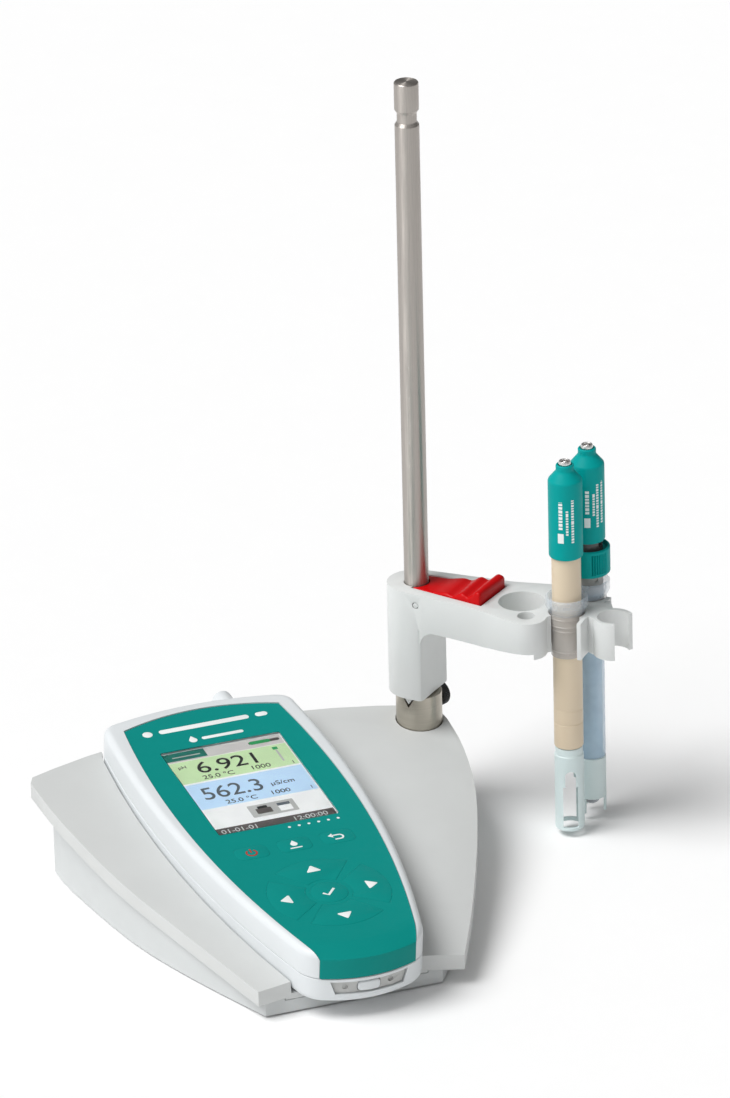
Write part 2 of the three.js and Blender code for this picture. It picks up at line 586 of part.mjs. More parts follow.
function makeCell() {
  const place = (body) => moved(body, CELL.u, CELL.v);
  const collar = 39.6;
  const joint = 50.4;
  piece(holder, 'sleeve_cell', place(sleeveBody()), 'clear');
  piece(holder, 'cell_head', place(headBody(SHAFT + GAP)), 'tealSoft');
  piece(holder, 'cell_socket', place(socketBody()), 'nickel');
  const shaft = turned([[0, collar], [SHAFT - 0.2, collar], [SHAFT, collar + 0.3], [SHAFT, joint - 0.3],
    [SHAFT - 0.25, joint], [SHAFT, joint + 0.3], [SHAFT, HEAD.bottom + 6.6], [0, HEAD.bottom + 6.6]], 28);
  piece(holder, 'cell_shaft', place(shaft), 'beige');

  const guardTop = collar - GAP;
  const bore = 4.9;
  let guard = turned([[bore, TIP], [SHAFT - 0.3, TIP], [SHAFT, TIP + 0.4], [SHAFT, guardTop - 3],
    [SHAFT - 0.35, guardTop - 2.6], [SHAFT - 0.35, guardTop], [bore, guardTop], [bore, TIP]], 28);
  const slot = roundedRect(0, 23.7, 2.2, 6, 2.15);
  const window = roundedRect(0, 13.4, 3.1, 9.1, 0.4);
  for (const shape of [slot, window]) {
    guard = guard.subtract(prism(shape, -10, 10, 3).rotate([90, 0, 0]).rotate([0, 0, 90 + FRONT]));
  }
  piece(holder, 'cell_guard', place(guard), 'guard');

  const core = turned([[0, 31], [3.6, 31], [4.5, 31.9], [4.5, guardTop], [0, guardTop]], 20);
  piece(holder, 'cell_core', place(core), 'black');
}

function makePhElectrode() {
  const place = (body) => moved(body, PH.u, PH.v);
  const neckBottom = SLEEVE.cone + 2.5;
  const neckTop = HEAD.bottom + 6.6;
  const neckRadius = SHAFT - 0.1;
  const ringBottom = 109.6;
  const ringTop = 121.4;
  const shaftBottom = 27.7;
  const bore = 4.9;
  piece(holder, 'sleeve_ph', place(sleeveBody()), 'clear');
  piece(holder, 'ph_head', place(headBody(SHAFT + GAP)), 'tealSoft');
  piece(holder, 'ph_socket', place(socketBody()), 'nickel');
  const drilled = (radius, depth, direction, z) => cylinder(0, 0, radius, depth, 9, 12)
    .rotate([0, 90, direction])
    .translate([0, 0, z]);
  const neck = turned([[3.6, neckBottom], [neckRadius - 0.3, neckBottom], [neckRadius, neckBottom + 0.3],
    [neckRadius, neckTop], [3.6, neckTop], [3.6, neckBottom]], 28)
    .subtract(drilled(0.9, 5.4, FRONT + 26, 107.6))
    .subtract(drilled(1.3, 3, FRONT + 52, ringTop + 1.4));
  piece(holder, 'ph_filler_neck', place(neck), 'frosted');

  const ringBore = neckRadius + GAP;
  let ring = turned([[ringBore, ringBottom], [8.3, ringBottom], [8.9, ringBottom + 0.8], [8.9, ringTop - 0.5],
    [8.5, ringTop], [7.9, ringTop], [7.9, ringTop - 2.2], [ringBore, ringTop - 2.2],
    [ringBore, ringBottom]], 32);
  for (let group = 0; group < 3; group += 1) {
    for (let i = -3; i <= 3; i += 1) {
      const angle = radians(FRONT + 26 + 120 * group + 7 * i);
      const x = 9 * Math.cos(angle);
      const y = 9 * Math.sin(angle);
      ring = ring.subtract(cylinder(x, y, 0.4, ringBottom - 1, ringTop - 1.2, 5));
    }
  }
  piece(holder, 'ph_filler_ring', place(ring), 'tealSoft');

  piece(holder, 'ph_shaft', place(tube(bore, SHAFT, shaftBottom, neckBottom - GAP, 28)), 'clear');
  const innerTube = tube(2.2, 3, 38, neckTop - 1, 24);
  piece(holder, 'ph_inner_tube', place(innerTube), 'clear');
  const diaphragm = turned([[0, shaftBottom], [bore - GAP, shaftBottom], [bore - GAP, 37.4], [3.4, 37.7],
    [0, 37.7]], 32);
  piece(holder, 'ph_diaphragm', place(diaphragm), 'guard');

  const guardTop = shaftBottom - GAP;
  const guardBottom = 9.2;
  let guard = turned([[bore, guardBottom], [SHAFT - 0.4, guardBottom], [SHAFT, guardBottom + 0.5],
    [SHAFT, guardTop - 0.4], [SHAFT - 0.4, guardTop], [bore, guardTop], [bore, guardBottom]], 28);
  for (let i = 0; i < 3; i += 1) {
    const prong = box(bore + 0.02, SHAFT - 0.1, -0.9, 0.9, TIP, guardBottom + 1);
    guard = guard.add(prong.rotate([0, 0, 120 * i + 20]));
  }
  piece(holder, 'ph_guard', place(guard), 'guard');
  const bulb = turned([[0, 5.4], [1.9, 5.9], [3.2, 7.3], [3.7, 9.2], [3.2, 11.1], [2.2, 12.4], [1.9, 13.6],
    [1.9, 26], [4, 26.4], [4, guardTop], [0, guardTop]], 28);
  piece(holder, 'ph_bulb', place(bulb), 'clear');
}

// ---------- instrument ----------
// casing outline as a solid with chamfered edges of the given size at one end
function casingBlock(pull, bottom, top, edge, edgeAt) {
  const shape = caseShape(pull + edge);
  const geometry = new THREE.ExtrudeGeometry(shape, {
    depth: top - bottom, bevelThickness: edge, bevelSize: edge, bevelSegments: 2, curveSegments: 5 });
  geometry.translate(0, 0, edgeAt === 'bottom' ? bottom + edge : bottom - edge);
  return solid(geometry).intersect(box(-80, 80, -60, 240, bottom, top));
}

// half space above the sloping front facet of the panel, lowered by a distance
function aboveFacet(lower) {
  const slope = FACET.drop / FACET.run;
  const y0 = FACET.y;
  return sidePrism([[y0, -lower], [y0 - 60, -lower - 60 * slope], [y0 - 60, 60], [y0, 60]], -80, 80);
}

const screwPlaces = [[-35.5, 152], [35.5, 152], [-21.5, 3.5], [21.5, 3.5]];
const sockets = { socket_ph: [16.5, -6.2, 4.2, 8], socket_cell: [-3, -16.6, 3.9, 1.6] };
const windowMiddle = (WINDOW.top + WINDOW.bottom) / 2;
const windowHalf = (WINDOW.top - WINDOW.bottom) / 2;
const batteryShape = (grow) => roundedRect(0, 62, 26 + grow, 34 + grow, 3);
const usbShape = (grow) => roundedRect(-21, -16.6, 4.6 + grow, 2.2 + grow, 0.6);
const buttonShape = (grow) => roundedRect(-0.8, -15.7, 4.7 + grow, 2.1 + grow, 1.5 + grow);

function endOutline(grow) {
  return shapeOf([[-END.halfTop - grow, END.top + grow], [-END.halfBottom - grow, END.bottom - grow],
    [END.halfBottom + grow, END.bottom - grow], [END.halfTop + grow, END.top + grow]]);
}

// prism of an outline in x and z, standing along y between two distances towards the keypad end
function alongY(shape, from, to) {
  return prism(shape, from, to, 4).rotate([90, 0, 0]);
}

// the same towards the socket end
const throughRear = (shape, from, to) => alongY(shape, -to, -from);

function makeCases(rearHoles, windowHole) {
  const inside = caseShape(CASE_WALL);
  const floorTop = CASE_BOTTOM + 2.2;
  let lower = casingBlock(0, CASE_BOTTOM, SEAM - 0.4, 3, 'bottom').subtract(prism(inside, floorTop, 0));
  for (const [x, y] of screwPlaces) {
    lower = lower.add(cylinder(x, y, 3.7, floorTop - 0.5, SEAM - 0.6, 16));
  }
  for (const [x, y] of screwPlaces) {
    lower = lower.subtract(cylinder(x, y, 1.8, -30, 0, 12))
      .subtract(cylinder(x, y, 2.9, -30, CASE_BOTTOM + 3.2, 12));
  }
  lower = lower.subtract(prism(batteryShape(0), -30, floorTop + 1)).subtract(alongY(endOutline(0), 5, 40));
  for (const hole of rearHoles) {
    lower = lower.subtract(hole);
  }
  piece(instrument, 'lower_case', lower, 'whitePlastic');

  // upper case with the recess for the panel
  const underPanel = PANEL_THICK + GAP;
  const beneath = prism(panelShape(6, underPanel), SEAM - 6, -underPanel).subtract(aboveFacet(underPanel));
  const recess = prism(panelShape(0.35, -2), SEAM - 5, 20, 8).subtract(beneath);
  let upper = casingBlock(0, SEAM + 0.4, 0.4, 3, 'top')
    .subtract(aboveFacet(-0.35))
    .subtract(recess)
    .subtract(prism(inside, SEAM, -underPanel - 2).subtract(aboveFacet(underPanel + 2)))
    .subtract(windowHole);
  for (const [x, y] of screwPlaces) {
    upper = upper.add(cylinder(x, y, 3.4, SEAM + 0.6, -underPanel - 1, 16));
  }
  for (const [x, y] of screwPlaces) {
    upper = upper.subtract(cylinder(x, y, 1.5, -30, -4.5, 12));
  }
  for (const [x, y] of Object.values(keyCentres)) {
    upper = upper.subtract(cylinder(x, y, KEY.stem + 0.5, -20, 5, 16));
  }
  for (const hole of rearHoles) {
    upper = upper.subtract(hole);
  }
  piece(instrument, 'upper_case', upper, 'whitePlastic');

  const band = prism(caseShape(0.7), SEAM - 0.1, SEAM + 0.1)
    .subtract(prism(caseShape(1.9), SEAM - 1, SEAM + 1));
  const seal = rearHoles.reduce((body, hole) => body.subtract(hole), band);
  piece(instrument, 'case_seal', seal, 'rubber');
}

// front panel with its window and key openings, and the keys
function makePanel(windowHole) {
  const under = prism(panelShape(6, PANEL_THICK), SEAM - 6, -PANEL_THICK).subtract(aboveFacet(PANEL_THICK));
  let panel = prism(panelShape(), SEAM + 0.4, 0)
    .subtract(aboveFacet(0))
    .subtract(under)
    .subtract(windowHole);
  for (const shape of Object.values(keyShapes)) {
    panel = panel.subtract(prism(shape(GAP), -5, 5, 6));
  }
  piece(instrument, 'front_panel', panel, 'teal');

  const capBottom = KEY.proud - KEY.cap;
  for (const [name, shape] of Object.entries(keyShapes)) {
    const [x, y] = keyCentres[name];
    const stem = cylinder(x, y, KEY.stem, -4.2, capBottom + 0.1, 16);
    piece(instrument, name, prism(shape(0), capBottom, KEY.proud, 6).add(stem), 'teal');
  }
}

function makeInnerParts() {
  const pane = roundedRect(0, windowMiddle, WINDOW.x - GAP, windowHalf - GAP, 0.6);
  piece(instrument, 'display_window', prism(pane, -0.9, -0.1), 'clear');
  piece(instrument, 'lcd_module', prism(pane, -5.4, -1.2), 'display');
  const mat = prism(roundedRect(0, 41, 24.5, 32.5, 4), -5.9, -5);
  piece(instrument, 'keypad_mat', mat, 'rubber');
  const board = prism(roundedRect(0, 86, 27, 60, 2), -8.2, -6.6).add(box(-20, 12, 100, 130, -7, -6.2));
  piece(instrument, 'main_board', board, 'board');
  const battery = prism(roundedRect(0, 62, 24, 31, 4), CASE_BOTTOM + 3, -12.5);
  piece(instrument, 'battery_pack', battery, 'black');
  const cover = prism(batteryShape(-GAP), CASE_BOTTOM, CASE_BOTTOM + 1.9);
  piece(instrument, 'battery_cover', cover, 'whitePlastic');
}

// grey end panel and its push button, both following the curved nose
function makeEnd() {
  const noseBand = (from, to) => prism(caseShape(from), -40, 0).subtract(prism(caseShape(to), -41, 1));
  const panel = noseBand(0.8, 2.2)
    .intersect(alongY(endOutline(-GAP), 5, 40))
    .subtract(alongY(buttonShape(GAP), 5, 40));
  piece(instrument, 'end_panel', panel, 'greyPlastic');
  const button = noseBand(0.1, 4).intersect(alongY(buttonShape(0), 5, 40));
  piece(instrument, 'end_button', button, 'whitePlastic');
}

function makeSockets() {
  for (const [name, [x, z, radius, reach]] of Object.entries(sockets)) {
    const outside = CASE.rear + reach;
    const barrel = throughRear(circleShape(x, z, radius), CASE.rear - 12, outside)
      .subtract(throughRear(circleShape(x, z, radius - 1.3), outside - 5, outside + 1))
      .add(throughRear(circleShape(x, z, 1), outside - 6, outside - 1));
    piece(instrument, name, barrel, name === 'socket_ph' ? 'whitePlastic' : 'nickel');
  }
  const usb = throughRear(usbShape(0), 168, CASE.rear + 0.6).subtract(throughRear(usbShape(-0.8), 174, 200));
  piece(instrument, 'socket_usb', usb, 'nickel');
}

function makeScrews() {
  screwPlaces.forEach(([x, y], i) => {
    const screw = turned([[0, CASE_BOTTOM + 0.6], [2.6, CASE_BOTTOM + 0.6], [2.6, CASE_BOTTOM + 2.9],
      [1.2, CASE_BOTTOM + 2.9], [1.2, -5], [0, -5]], 14);
    piece(instrument, `case_screw_${i + 1}`, moved(screw, x, y), 'steel');
  });
}

function makeInstrument() {
  const windowHole = prism(roundedRect(0, windowMiddle, WINDOW.x, windowHalf, 0.8), -20, 20);
  const rearHoles = Object.values(sockets)
    .map(([x, z, radius]) => throughRear(circleShape(x, z, radius + GAP), 150, 200));
  rearHoles.push(throughRear(usbShape(GAP), 150, 200));
  makeCases(rearHoles, windowHole);
  makePanel(windowHole);
  makeInnerParts();
  makeEnd();
  makeSockets();
  makeScrews();
}

const circleShape = (x, z, radius) => new THREE.Shape().absarc(x, z, radius, 0, 2 * Math.PI);

makeBase();
makeStand();
makeHolder();
makeCell();
makePhElectrode();
makeInstrument();

// stand the object on z = 0, centred in plan
assembly.updateMatrixWorld(true);
const bounds = new THREE.Box3().setFromObject(assembly, true);
assembly.position.set(-(bounds.min.x + bounds.max.x) / 2, -(bounds.min.y + bounds.max.y) / 2, -bounds.min.z);

export default assembly;
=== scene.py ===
"""Looks of a bench pH and conductivity meter: a hand-held instrument in a weighted base, a stand rod, and a
holder arm with two electrodes. Lengths are millimetres in the local frames below unless said to be metres;
build() and plate() turn them into metres in the shared frame."""
import json
import math

import bmesh
import bpy
from mathutils import Matrix, Vector


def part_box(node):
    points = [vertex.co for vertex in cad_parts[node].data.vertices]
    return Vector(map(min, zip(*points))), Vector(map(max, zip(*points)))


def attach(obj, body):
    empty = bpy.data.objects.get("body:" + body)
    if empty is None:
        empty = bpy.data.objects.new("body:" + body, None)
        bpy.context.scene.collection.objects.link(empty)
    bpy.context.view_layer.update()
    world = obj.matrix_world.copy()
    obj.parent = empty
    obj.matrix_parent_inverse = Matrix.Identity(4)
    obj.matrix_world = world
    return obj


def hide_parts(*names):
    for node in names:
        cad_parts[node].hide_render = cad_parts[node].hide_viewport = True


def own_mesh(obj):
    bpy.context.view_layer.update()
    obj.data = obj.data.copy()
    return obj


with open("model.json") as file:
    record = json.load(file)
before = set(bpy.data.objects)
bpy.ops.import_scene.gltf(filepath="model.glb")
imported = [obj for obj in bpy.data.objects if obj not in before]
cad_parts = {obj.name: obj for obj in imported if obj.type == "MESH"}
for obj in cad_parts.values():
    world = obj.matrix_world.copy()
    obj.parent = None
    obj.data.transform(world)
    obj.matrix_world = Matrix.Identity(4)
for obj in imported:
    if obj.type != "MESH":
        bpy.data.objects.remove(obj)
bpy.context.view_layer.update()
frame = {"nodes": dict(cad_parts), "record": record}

# ---------------- frames
MM = 0.001
ROD_PLAN = (93.0, 160.5)
ARM_DEGREES = -49
METER_PLACE = (1.2, 0.0, 32.0)
METER_TILT = math.atan(0.115)

# the design's own origin in the shared frame, in metres, found from the stand rod
rod_low, rod_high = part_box("stand_rod")
rod_axis = (Vector(rod_low) + Vector(rod_high)) / 2
ORIGIN = Vector((rod_axis.x - ROD_PLAN[0] * MM, rod_axis.y - ROD_PLAN[1] * MM, 0))


def placed(x, y, z, turn=Matrix.Identity(4)):
    """Matrix of a local frame in millimetres, turned and set at a place in the design."""
    return Matrix.Translation(ORIGIN + Vector((x, y, z)) * MM) @ turn @ Matrix.Scale(MM, 4)


# the tilted instrument, with y from its front to its rear; the arm, with x along it; the rod; the electrodes
METER = placed(*METER_PLACE, Matrix.Rotation(METER_TILT, 4, "X"))
HOLDER = placed(*ROD_PLAN, 0, Matrix.Rotation(math.radians(ARM_DEGREES), 4, "Z"))
ROD = placed(*ROD_PLAN, 0)
CELL = HOLDER @ Matrix.Translation((68.8, -0.7, 0))
PH = HOLDER @ Matrix.Translation((69.6, 17.8, 0))

BODY_OF = {node: body for body, nodes in frame["record"]["behaviour"]["bodies"].items() for node in nodes}


# ---------------- colours and materials
def linear(colour, factor=1.0):
    """The linear colour of 8-bit screen values, made darker or lighter by a factor."""
    def channel(value):
        value /= 255
        return value / 12.92 if value <= 0.04045 else ((value + 0.055) / 1.055) ** 2.4

    return (*(channel(value) * factor for value in colour), 1.0)


class Nodes:
    """A material's node tree, with short ways to add and join nodes."""

    def __init__(self, name):
        self.material = bpy.data.materials.new(name)
        self.material.use_nodes = True
        self.tree = self.material.node_tree
        self.shader = self.tree.nodes["Principled BSDF"]
        self.coords = self.add("ShaderNodeTexCoord").outputs["Object"]

    def add(self, kind, **values):
        node = self.tree.nodes.new(kind)
        for key, value in values.items():
            setattr(node, key, value)
        return node

    def link(self, output, target):
        self.tree.links.new(output, target)

    def stretched(self, x, y, z):
        mapping = self.add("ShaderNodeMapping")
        mapping.inputs["Scale"].default_value = (x, y, z)
        self.link(self.coords, mapping.inputs["Vector"])
        return mapping.outputs["Vector"]

    def noise(self, scale, detail, roughness=0.5, vector=None):
        node = self.add("ShaderNodeTexNoise")
        node.inputs["Scale"].default_value = scale
        node.inputs["Detail"].default_value = detail
        node.inputs["Roughness"].default_value = roughness
        self.link(vector or self.coords, node.inputs["Vector"])
        return node.outputs["Fac"]

    def spread(self, value, low, high, start=0.35, end=0.65):
        """Spreads a value between start and end, where most of a noise lies, over low to high."""
        node = self.add("ShaderNodeMapRange")
        node.inputs["From Min"].default_value = start
        node.inputs["From Max"].default_value = end
        node.inputs["To Min"].default_value = low
        node.inputs["To Max"].default_value = high
        self.link(value, node.inputs["Value"])
        return node.outputs["Result"]

    def mixed(self, factor, first, second):
        node = self.add("ShaderNodeMix", data_type="RGBA")
        node.inputs["A"].default_value = first
        node.inputs["B"].default_value = second
        self.link(factor, node.inputs["Factor"])
        return node.outputs["Result"]

    def bump(self, height, strength, distance=0.0001):
        node = self.add("ShaderNodeBump")
        node.inputs["Strength"].default_value = strength
        node.inputs["Distance"].default_value = distance
        self.link(height, node.inputs["Height"])
        self.drive(Normal=node.outputs["Normal"])

    def set(self, **values):
        """Sets the shader's sockets of these names."""
        for key, value in values.items():
            self.shader.inputs[key.replace("_", " ")].default_value = value

    def drive(self, **outputs):
        """Links outputs to the shader's sockets of these names."""
        for key, output in outputs.items():
            self.link(output, self.shader.inputs[key.replace("_", " ")])


def moulded(name, colour, rough=0.42, grain=2600, depth=0.12, vary=0.04, subsurface=0.0, gloss=0.5):
    """Moulded plastic: fine spark-eroded grain, faint clouding and uneven gloss."""
    nodes = Nodes(name)
    clouds = nodes.spread(nodes.noise(38, 4), 0, 1)
    colours = nodes.mixed(clouds, linear(colour, 1 - vary), linear(colour, 1 + vary))
    roughness = nodes.spread(nodes.noise(140, 3), rough - 0.05, rough + 0.05)
    nodes.drive(Base_Color=colours, Roughness=roughness)
    nodes.bump(nodes.noise(grain, 2), depth)
    nodes.set(Specular_IOR_Level=gloss)
    if subsurface:
        nodes.set(Subsurface_Weight=subsurface, Subsurface_Radius=(1, 1, 1), Subsurface_Scale=0.001)
    return nodes.material


def metal(name, colour, rough, stretch=(1, 1, 1), streak=900, vary=0.12, brushed=0.0):
    """Metal with the fine lines of turning, drawing or brushing along the given direction. brushed
    spreads its gloss up and down an upright part, as lines ground round it do."""
    nodes = Nodes(name)
    lines = nodes.noise(streak, 5, 0.65, nodes.stretched(*stretch))
    colours = nodes.mixed(nodes.spread(lines, 0, 1), linear(colour, 1 - vary), linear(colour, 1 + vary))
    nodes.drive(Base_Color=colours, Roughness=nodes.spread(lines, rough - 0.06, rough + 0.08))
    nodes.bump(lines, 0.12, 0.00004)
    nodes.set(Metallic=1.0, Anisotropic=brushed, Anisotropic_Rotation=0.25)
    return nodes.material


def see_through(name, colour, rough, ior=1.46, cloud=0.01, transmission=1.0, ripple=0.05):
    """Clear or hazy plastic and glass, with faint flow marks."""
    nodes = Nodes(name)
    flow = nodes.noise(120, 3)
    colours = nodes.mixed(nodes.spread(flow, 0, 1), linear(colour, 0.97), linear(colour))
    nodes.drive(Base_Color=colours, Roughness=nodes.spread(flow, rough, rough + cloud))
    nodes.bump(nodes.noise(300, 2), ripple)
    nodes.set(Transmission_Weight=transmission, IOR=ior)
    return nodes.material


def veil(name, colour, cover, rough=0.2, split=None):
    """Thin hazy plastic that lets part of what is behind it through, thicker in some places. split is a
    height in metres and the colour and cover below it; on the pH electrode's neck, the dark colour above that
    height is painted shade."""
    nodes = Nodes(name)
    flow = nodes.noise(60, 3)
    colours = nodes.mixed(nodes.spread(flow, 0, 1), linear(colour, 0.96), linear(colour, 1.04))
    covers = nodes.spread(flow, cover - 0.05, cover + 0.05)
    if split:
        level, below, below_cover = split
        height = nodes.add("ShaderNodeSeparateXYZ")
        nodes.link(nodes.coords, height.inputs["Vector"])
        above = nodes.spread(height.outputs["Z"], 0, 1, level - 0.0004, level + 0.0004)
        join = nodes.add("ShaderNodeMix", data_type="RGBA")
        join.inputs["A"].default_value = linear(below)
        nodes.link(above, join.inputs["Factor"])
        nodes.link(colours, join.inputs["B"])
        colours = join.outputs["Result"]
        part = nodes.spread(above, below_cover - cover, 0, 0, 1)
        total = nodes.add("ShaderNodeMath", operation="ADD")
        nodes.link(covers, total.inputs[0])
        nodes.link(part, total.inputs[1])
        covers = total.outputs["Value"]
    roughness = nodes.spread(nodes.noise(300, 2), rough - 0.05, rough + 0.05)
    nodes.drive(Base_Color=colours, Alpha=covers, Roughness=roughness)
    nodes.bump(nodes.noise(240, 2), 0.06)
    return nodes.material


def printed(name, colour, rough=0.5, glow=0.0):
    """Screen-printed ink or a display field: fine dot grain, and a little light of its own if it glows."""
    nodes = Nodes(name)
    dots = nodes.spread(nodes.noise(5200, 1), 0, 1)
    colours = nodes.mixed(dots, linear(colour, 0.965), linear(colour, 1.02))
    roughness = nodes.spread(nodes.noise(700, 2), rough - 0.04, rough + 0.04)
    nodes.drive(Base_Color=colours, Roughness=roughness)
    if glow:
        nodes.drive(Emission_Color=colours)
        nodes.set(Emission_Strength=glow)
    return nodes.material


WHITE = moulded("white_plastic", (220, 224, 226), 0.4, depth=0.10, vary=0.012, subsurface=0.1, gloss=0.35)
GREY = moulded("base_plastic", (203, 205, 204), 0.46, grain=2200, depth=0.16, vary=0.014, gloss=0.3)
SKIRT = moulded("skirt_plastic", (198, 201, 201), 0.46, grain=2200, depth=0.16, vary=0.014, gloss=0.3)
END_GREY = moulded("end_panel_plastic", (188, 189, 187), 0.5, depth=0.16, vary=0.02, gloss=0.3)
ARM_WHITE = moulded("arm_plastic", (219, 221, 220), 0.42, grain=2000, depth=0.14, vary=0.012,
                    subsurface=0.1, gloss=0.35)
TEAL = moulded("panel_foil", (0, 137, 130), 0.5, grain=3400, depth=0.10, vary=0.015, gloss=0.12)
TEAL_PART = moulded("teal_plastic", (0, 157, 155), 0.46, grain=2400, depth=0.14, vary=0.03, gloss=0.1)
RED = moulded("red_plastic", (200, 4, 10), 0.34, grain=900, depth=0.05, vary=0.04, gloss=0.16)
BEIGE = moulded("shaft_plastic", (220, 203, 177), 0.4, grain=1800, vary=0.02, subsurface=0.1)
GUARD = moulded("guard_plastic", (214, 228, 228), 0.36, grain=1500, depth=0.1, vary=0.02, subsurface=0.3)
BLACK = moulded("black_plastic", (30, 30, 32), 0.38, grain=1600, depth=0.3, vary=0.15)
RUBBER = moulded("rubber", (40, 40, 42), 0.75, grain=1200, depth=0.5, vary=0.1)
BOARD = moulded("circuit_board", (24, 96, 52), 0.4, grain=700, depth=0.3, vary=0.2)
# the neck's dark grey above the split height is painted shade, where the filler ring's counterbore shades it;
# below that height the neck has its own light grey
NECK = veil("neck_plastic_painted_shade", (92, 92, 92), 0.85, split=(0.119, (172, 171, 168), 0.8))
SLEEVE = veil("sleeve_plastic", (214, 224, 234), 0.3, 0.06, split=(0.0993, (204, 200, 196), 0.5))
GLASS = veil("electrode_glass", (194, 220, 238), 0.5, 0.08)
BULB_GLASS = see_through("bulb_glass", (232, 240, 246), 0.02, ior=1.5)
PANE = see_through("display_glass", (244, 247, 247), 0.03, ior=1.2, ripple=0.003)
DIAPHRAGM = see_through("frosted_glass", (222, 236, 242), 0.45, cloud=0.1, transmission=0.6)
STEEL = metal("drawn_steel", (190, 184, 178), 0.42, stretch=(1, 1, 0.03), streak=1500, brushed=0.85)
NICKEL = metal("turned_nickel", (186, 180, 168), 0.34, stretch=(0.04, 0.04, 1), streak=1500, vary=0.06,
               brushed=0.7)
PLATE_STEEL = metal("plate_steel", (150, 150, 150), 0.45, stretch=(1, 0.05, 1), streak=400)
CONTACT = metal("plug_contact", (236, 234, 232), 0.3, streak=1200, vary=0.05)
INK = printed("white_ink", (240, 243, 242), 0.45)
RED_INK = printed("red_ink", (176, 52, 40), 0.45)
FLOOR = moulded("floor", (253, 253, 253), 0.7, grain=300, depth=0.0, vary=0.002, gloss=0.1)
SCREEN = {name: printed("screen_" + name, colour, glow=glow) for name, colour, glow in (
    ("dark", (92, 84, 82), 0.2), ("header", (198, 192, 190), 0.4), ("tab", (0, 112, 98), 0.2),
    ("green", (196, 220, 172), 0.4), ("blue", (190, 217, 244), 0.4), ("light", (240, 238, 238), 0.4),
    ("button", (196, 194, 192), 0.2), ("level", (30, 148, 82), 0.4), ("black", (14, 16, 16), 0.0),
    ("slate", (92, 102, 112), 0.1))}


# ---------------- mesh building
def linked(name, data):
    """A new object in the scene."""
    item = bpy.data.objects.new(name, data)
    bpy.context.scene.collection.objects.link(item)
    return item


def finish_mesh(piece, material, smooth=32, recalc=True):
    """Gives a piece one material, and smooth shading up to an angle in degrees."""
    mesh = piece.data
    if recalc:
        work = bmesh.new()
        work.from_mesh(mesh)
        bmesh.ops.remove_doubles(work, verts=work.verts, dist=2e-7)
        bmesh.ops.recalc_face_normals(work, faces=work.faces)
        work.to_mesh(mesh)
        work.free()
    mesh.materials.clear()
    mesh.materials.append(material)
    for polygon in mesh.polygons:
        polygon.material_index = 0
    mesh.shade_smooth()
    mesh.set_sharp_from_angle(angle=math.radians(smooth))


def build(name, points, faces, where, material, smooth=32):
    """A mesh object from millimetre points in a local frame; its own origin stays at the world's."""
    mesh = bpy.data.meshes.new(name)
    mesh.from_pydata([tuple(where @ Vector(point)) for point in points], [], faces)
    mesh.update()
    piece = linked(name, mesh)
    finish_mesh(piece, material, smooth)
    return piece


def evaluated(item):
    """The mesh that an object's modifiers, curve or text make."""
    graph = bpy.context.evaluated_depsgraph_get()
    graph.update()
    return bpy.data.meshes.new_from_object(item.evaluated_get(graph), depsgraph=graph)


def settle(piece):
    """Applies a piece's modifiers and drops them."""
    result = evaluated(piece)
    piece.modifiers.clear()
    old = piece.data
    piece.data = result
    result.name = old.name
    bpy.data.meshes.remove(old)


def soften(piece, width, segments, angle, smooth=32):
    """Rounds a piece's edges by a width in millimetres, where its faces turn by more than the angle."""
    bevel = piece.modifiers.new("edges", "BEVEL")
    bevel.width = width * MM
    bevel.segments = segments
    bevel.limit_method = "ANGLE"
    bevel.angle_limit = math.radians(angle)
    settle(piece)
    finish_mesh(piece, piece.data.materials[0], smooth, recalc=False)


def combine(piece, others, operation="DIFFERENCE", smooth=32):
    """Cuts others from a piece, or joins them to it with the operation UNION, and removes them."""
    for other in others:
        cut = piece.modifiers.new("cut", "BOOLEAN")
        cut.operation = operation
        cut.solver = "EXACT"
        cut.object = other
    settle(piece)
    for other in others:
        mesh = other.data
        bpy.data.objects.remove(other)
        bpy.data.meshes.remove(mesh)
    finish_mesh(piece, piece.data.materials[0], smooth)


def stands_for(piece, node):
    """The piece rides on the node's body and is shown in its place."""
    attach(piece, BODY_OF[node])
    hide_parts(node)


def rides_with(piece, node):
    """The piece rides on the node's body and is shown beside it."""
    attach(piece, BODY_OF[node])


def grid_solid(name, low, high, where, material, smooth=32):
    """A closed solid between two grids of points with the same rows and columns."""
    rows, columns = len(low), len(low[0])
    points = [point for grid in (low, high) for row in grid for point in row]
    layer = rows * columns
    faces = []
    for i in range(rows - 1):
        for j in range(columns - 1):
            a = i * columns + j
            faces.append((a, a + 1, a + columns + 1, a + columns))
            faces.append((layer + a, layer + a + columns, layer + a + columns + 1, layer + a + 1))
    edge = [(0, j) for j in range(columns)] + [(i, columns - 1) for i in range(1, rows)]
    edge += [(rows - 1, j) for j in range(columns - 2, -1, -1)] + [(i, 0) for i in range(rows - 2, 0, -1)]
    for k, (i, j) in enumerate(edge):
        i2, j2 = edge[(k + 1) % len(edge)]
        a, b = i * columns + j, i2 * columns + j2
        faces.append((a, b, layer + b, layer + a))
    return build(name, points, faces, where, material, smooth)


def loft(name, rings, where, material, smooth=32):
    """A closed solid through rings of the same number of points, capped at both ends."""
    count = len(rings[0])
    points = [point for ring in rings for point in ring]
    faces = [tuple(range(count - 1, -1, -1)), tuple(range(len(points) - count, len(points)))]
    for i in range(len(rings) - 1):
        for j in range(count):
            k = (j + 1) % count
            faces.append((i * count + j, i * count + k, (i + 1) * count + k, (i + 1) * count + j))
    return build(name, points, faces, where, material, smooth)


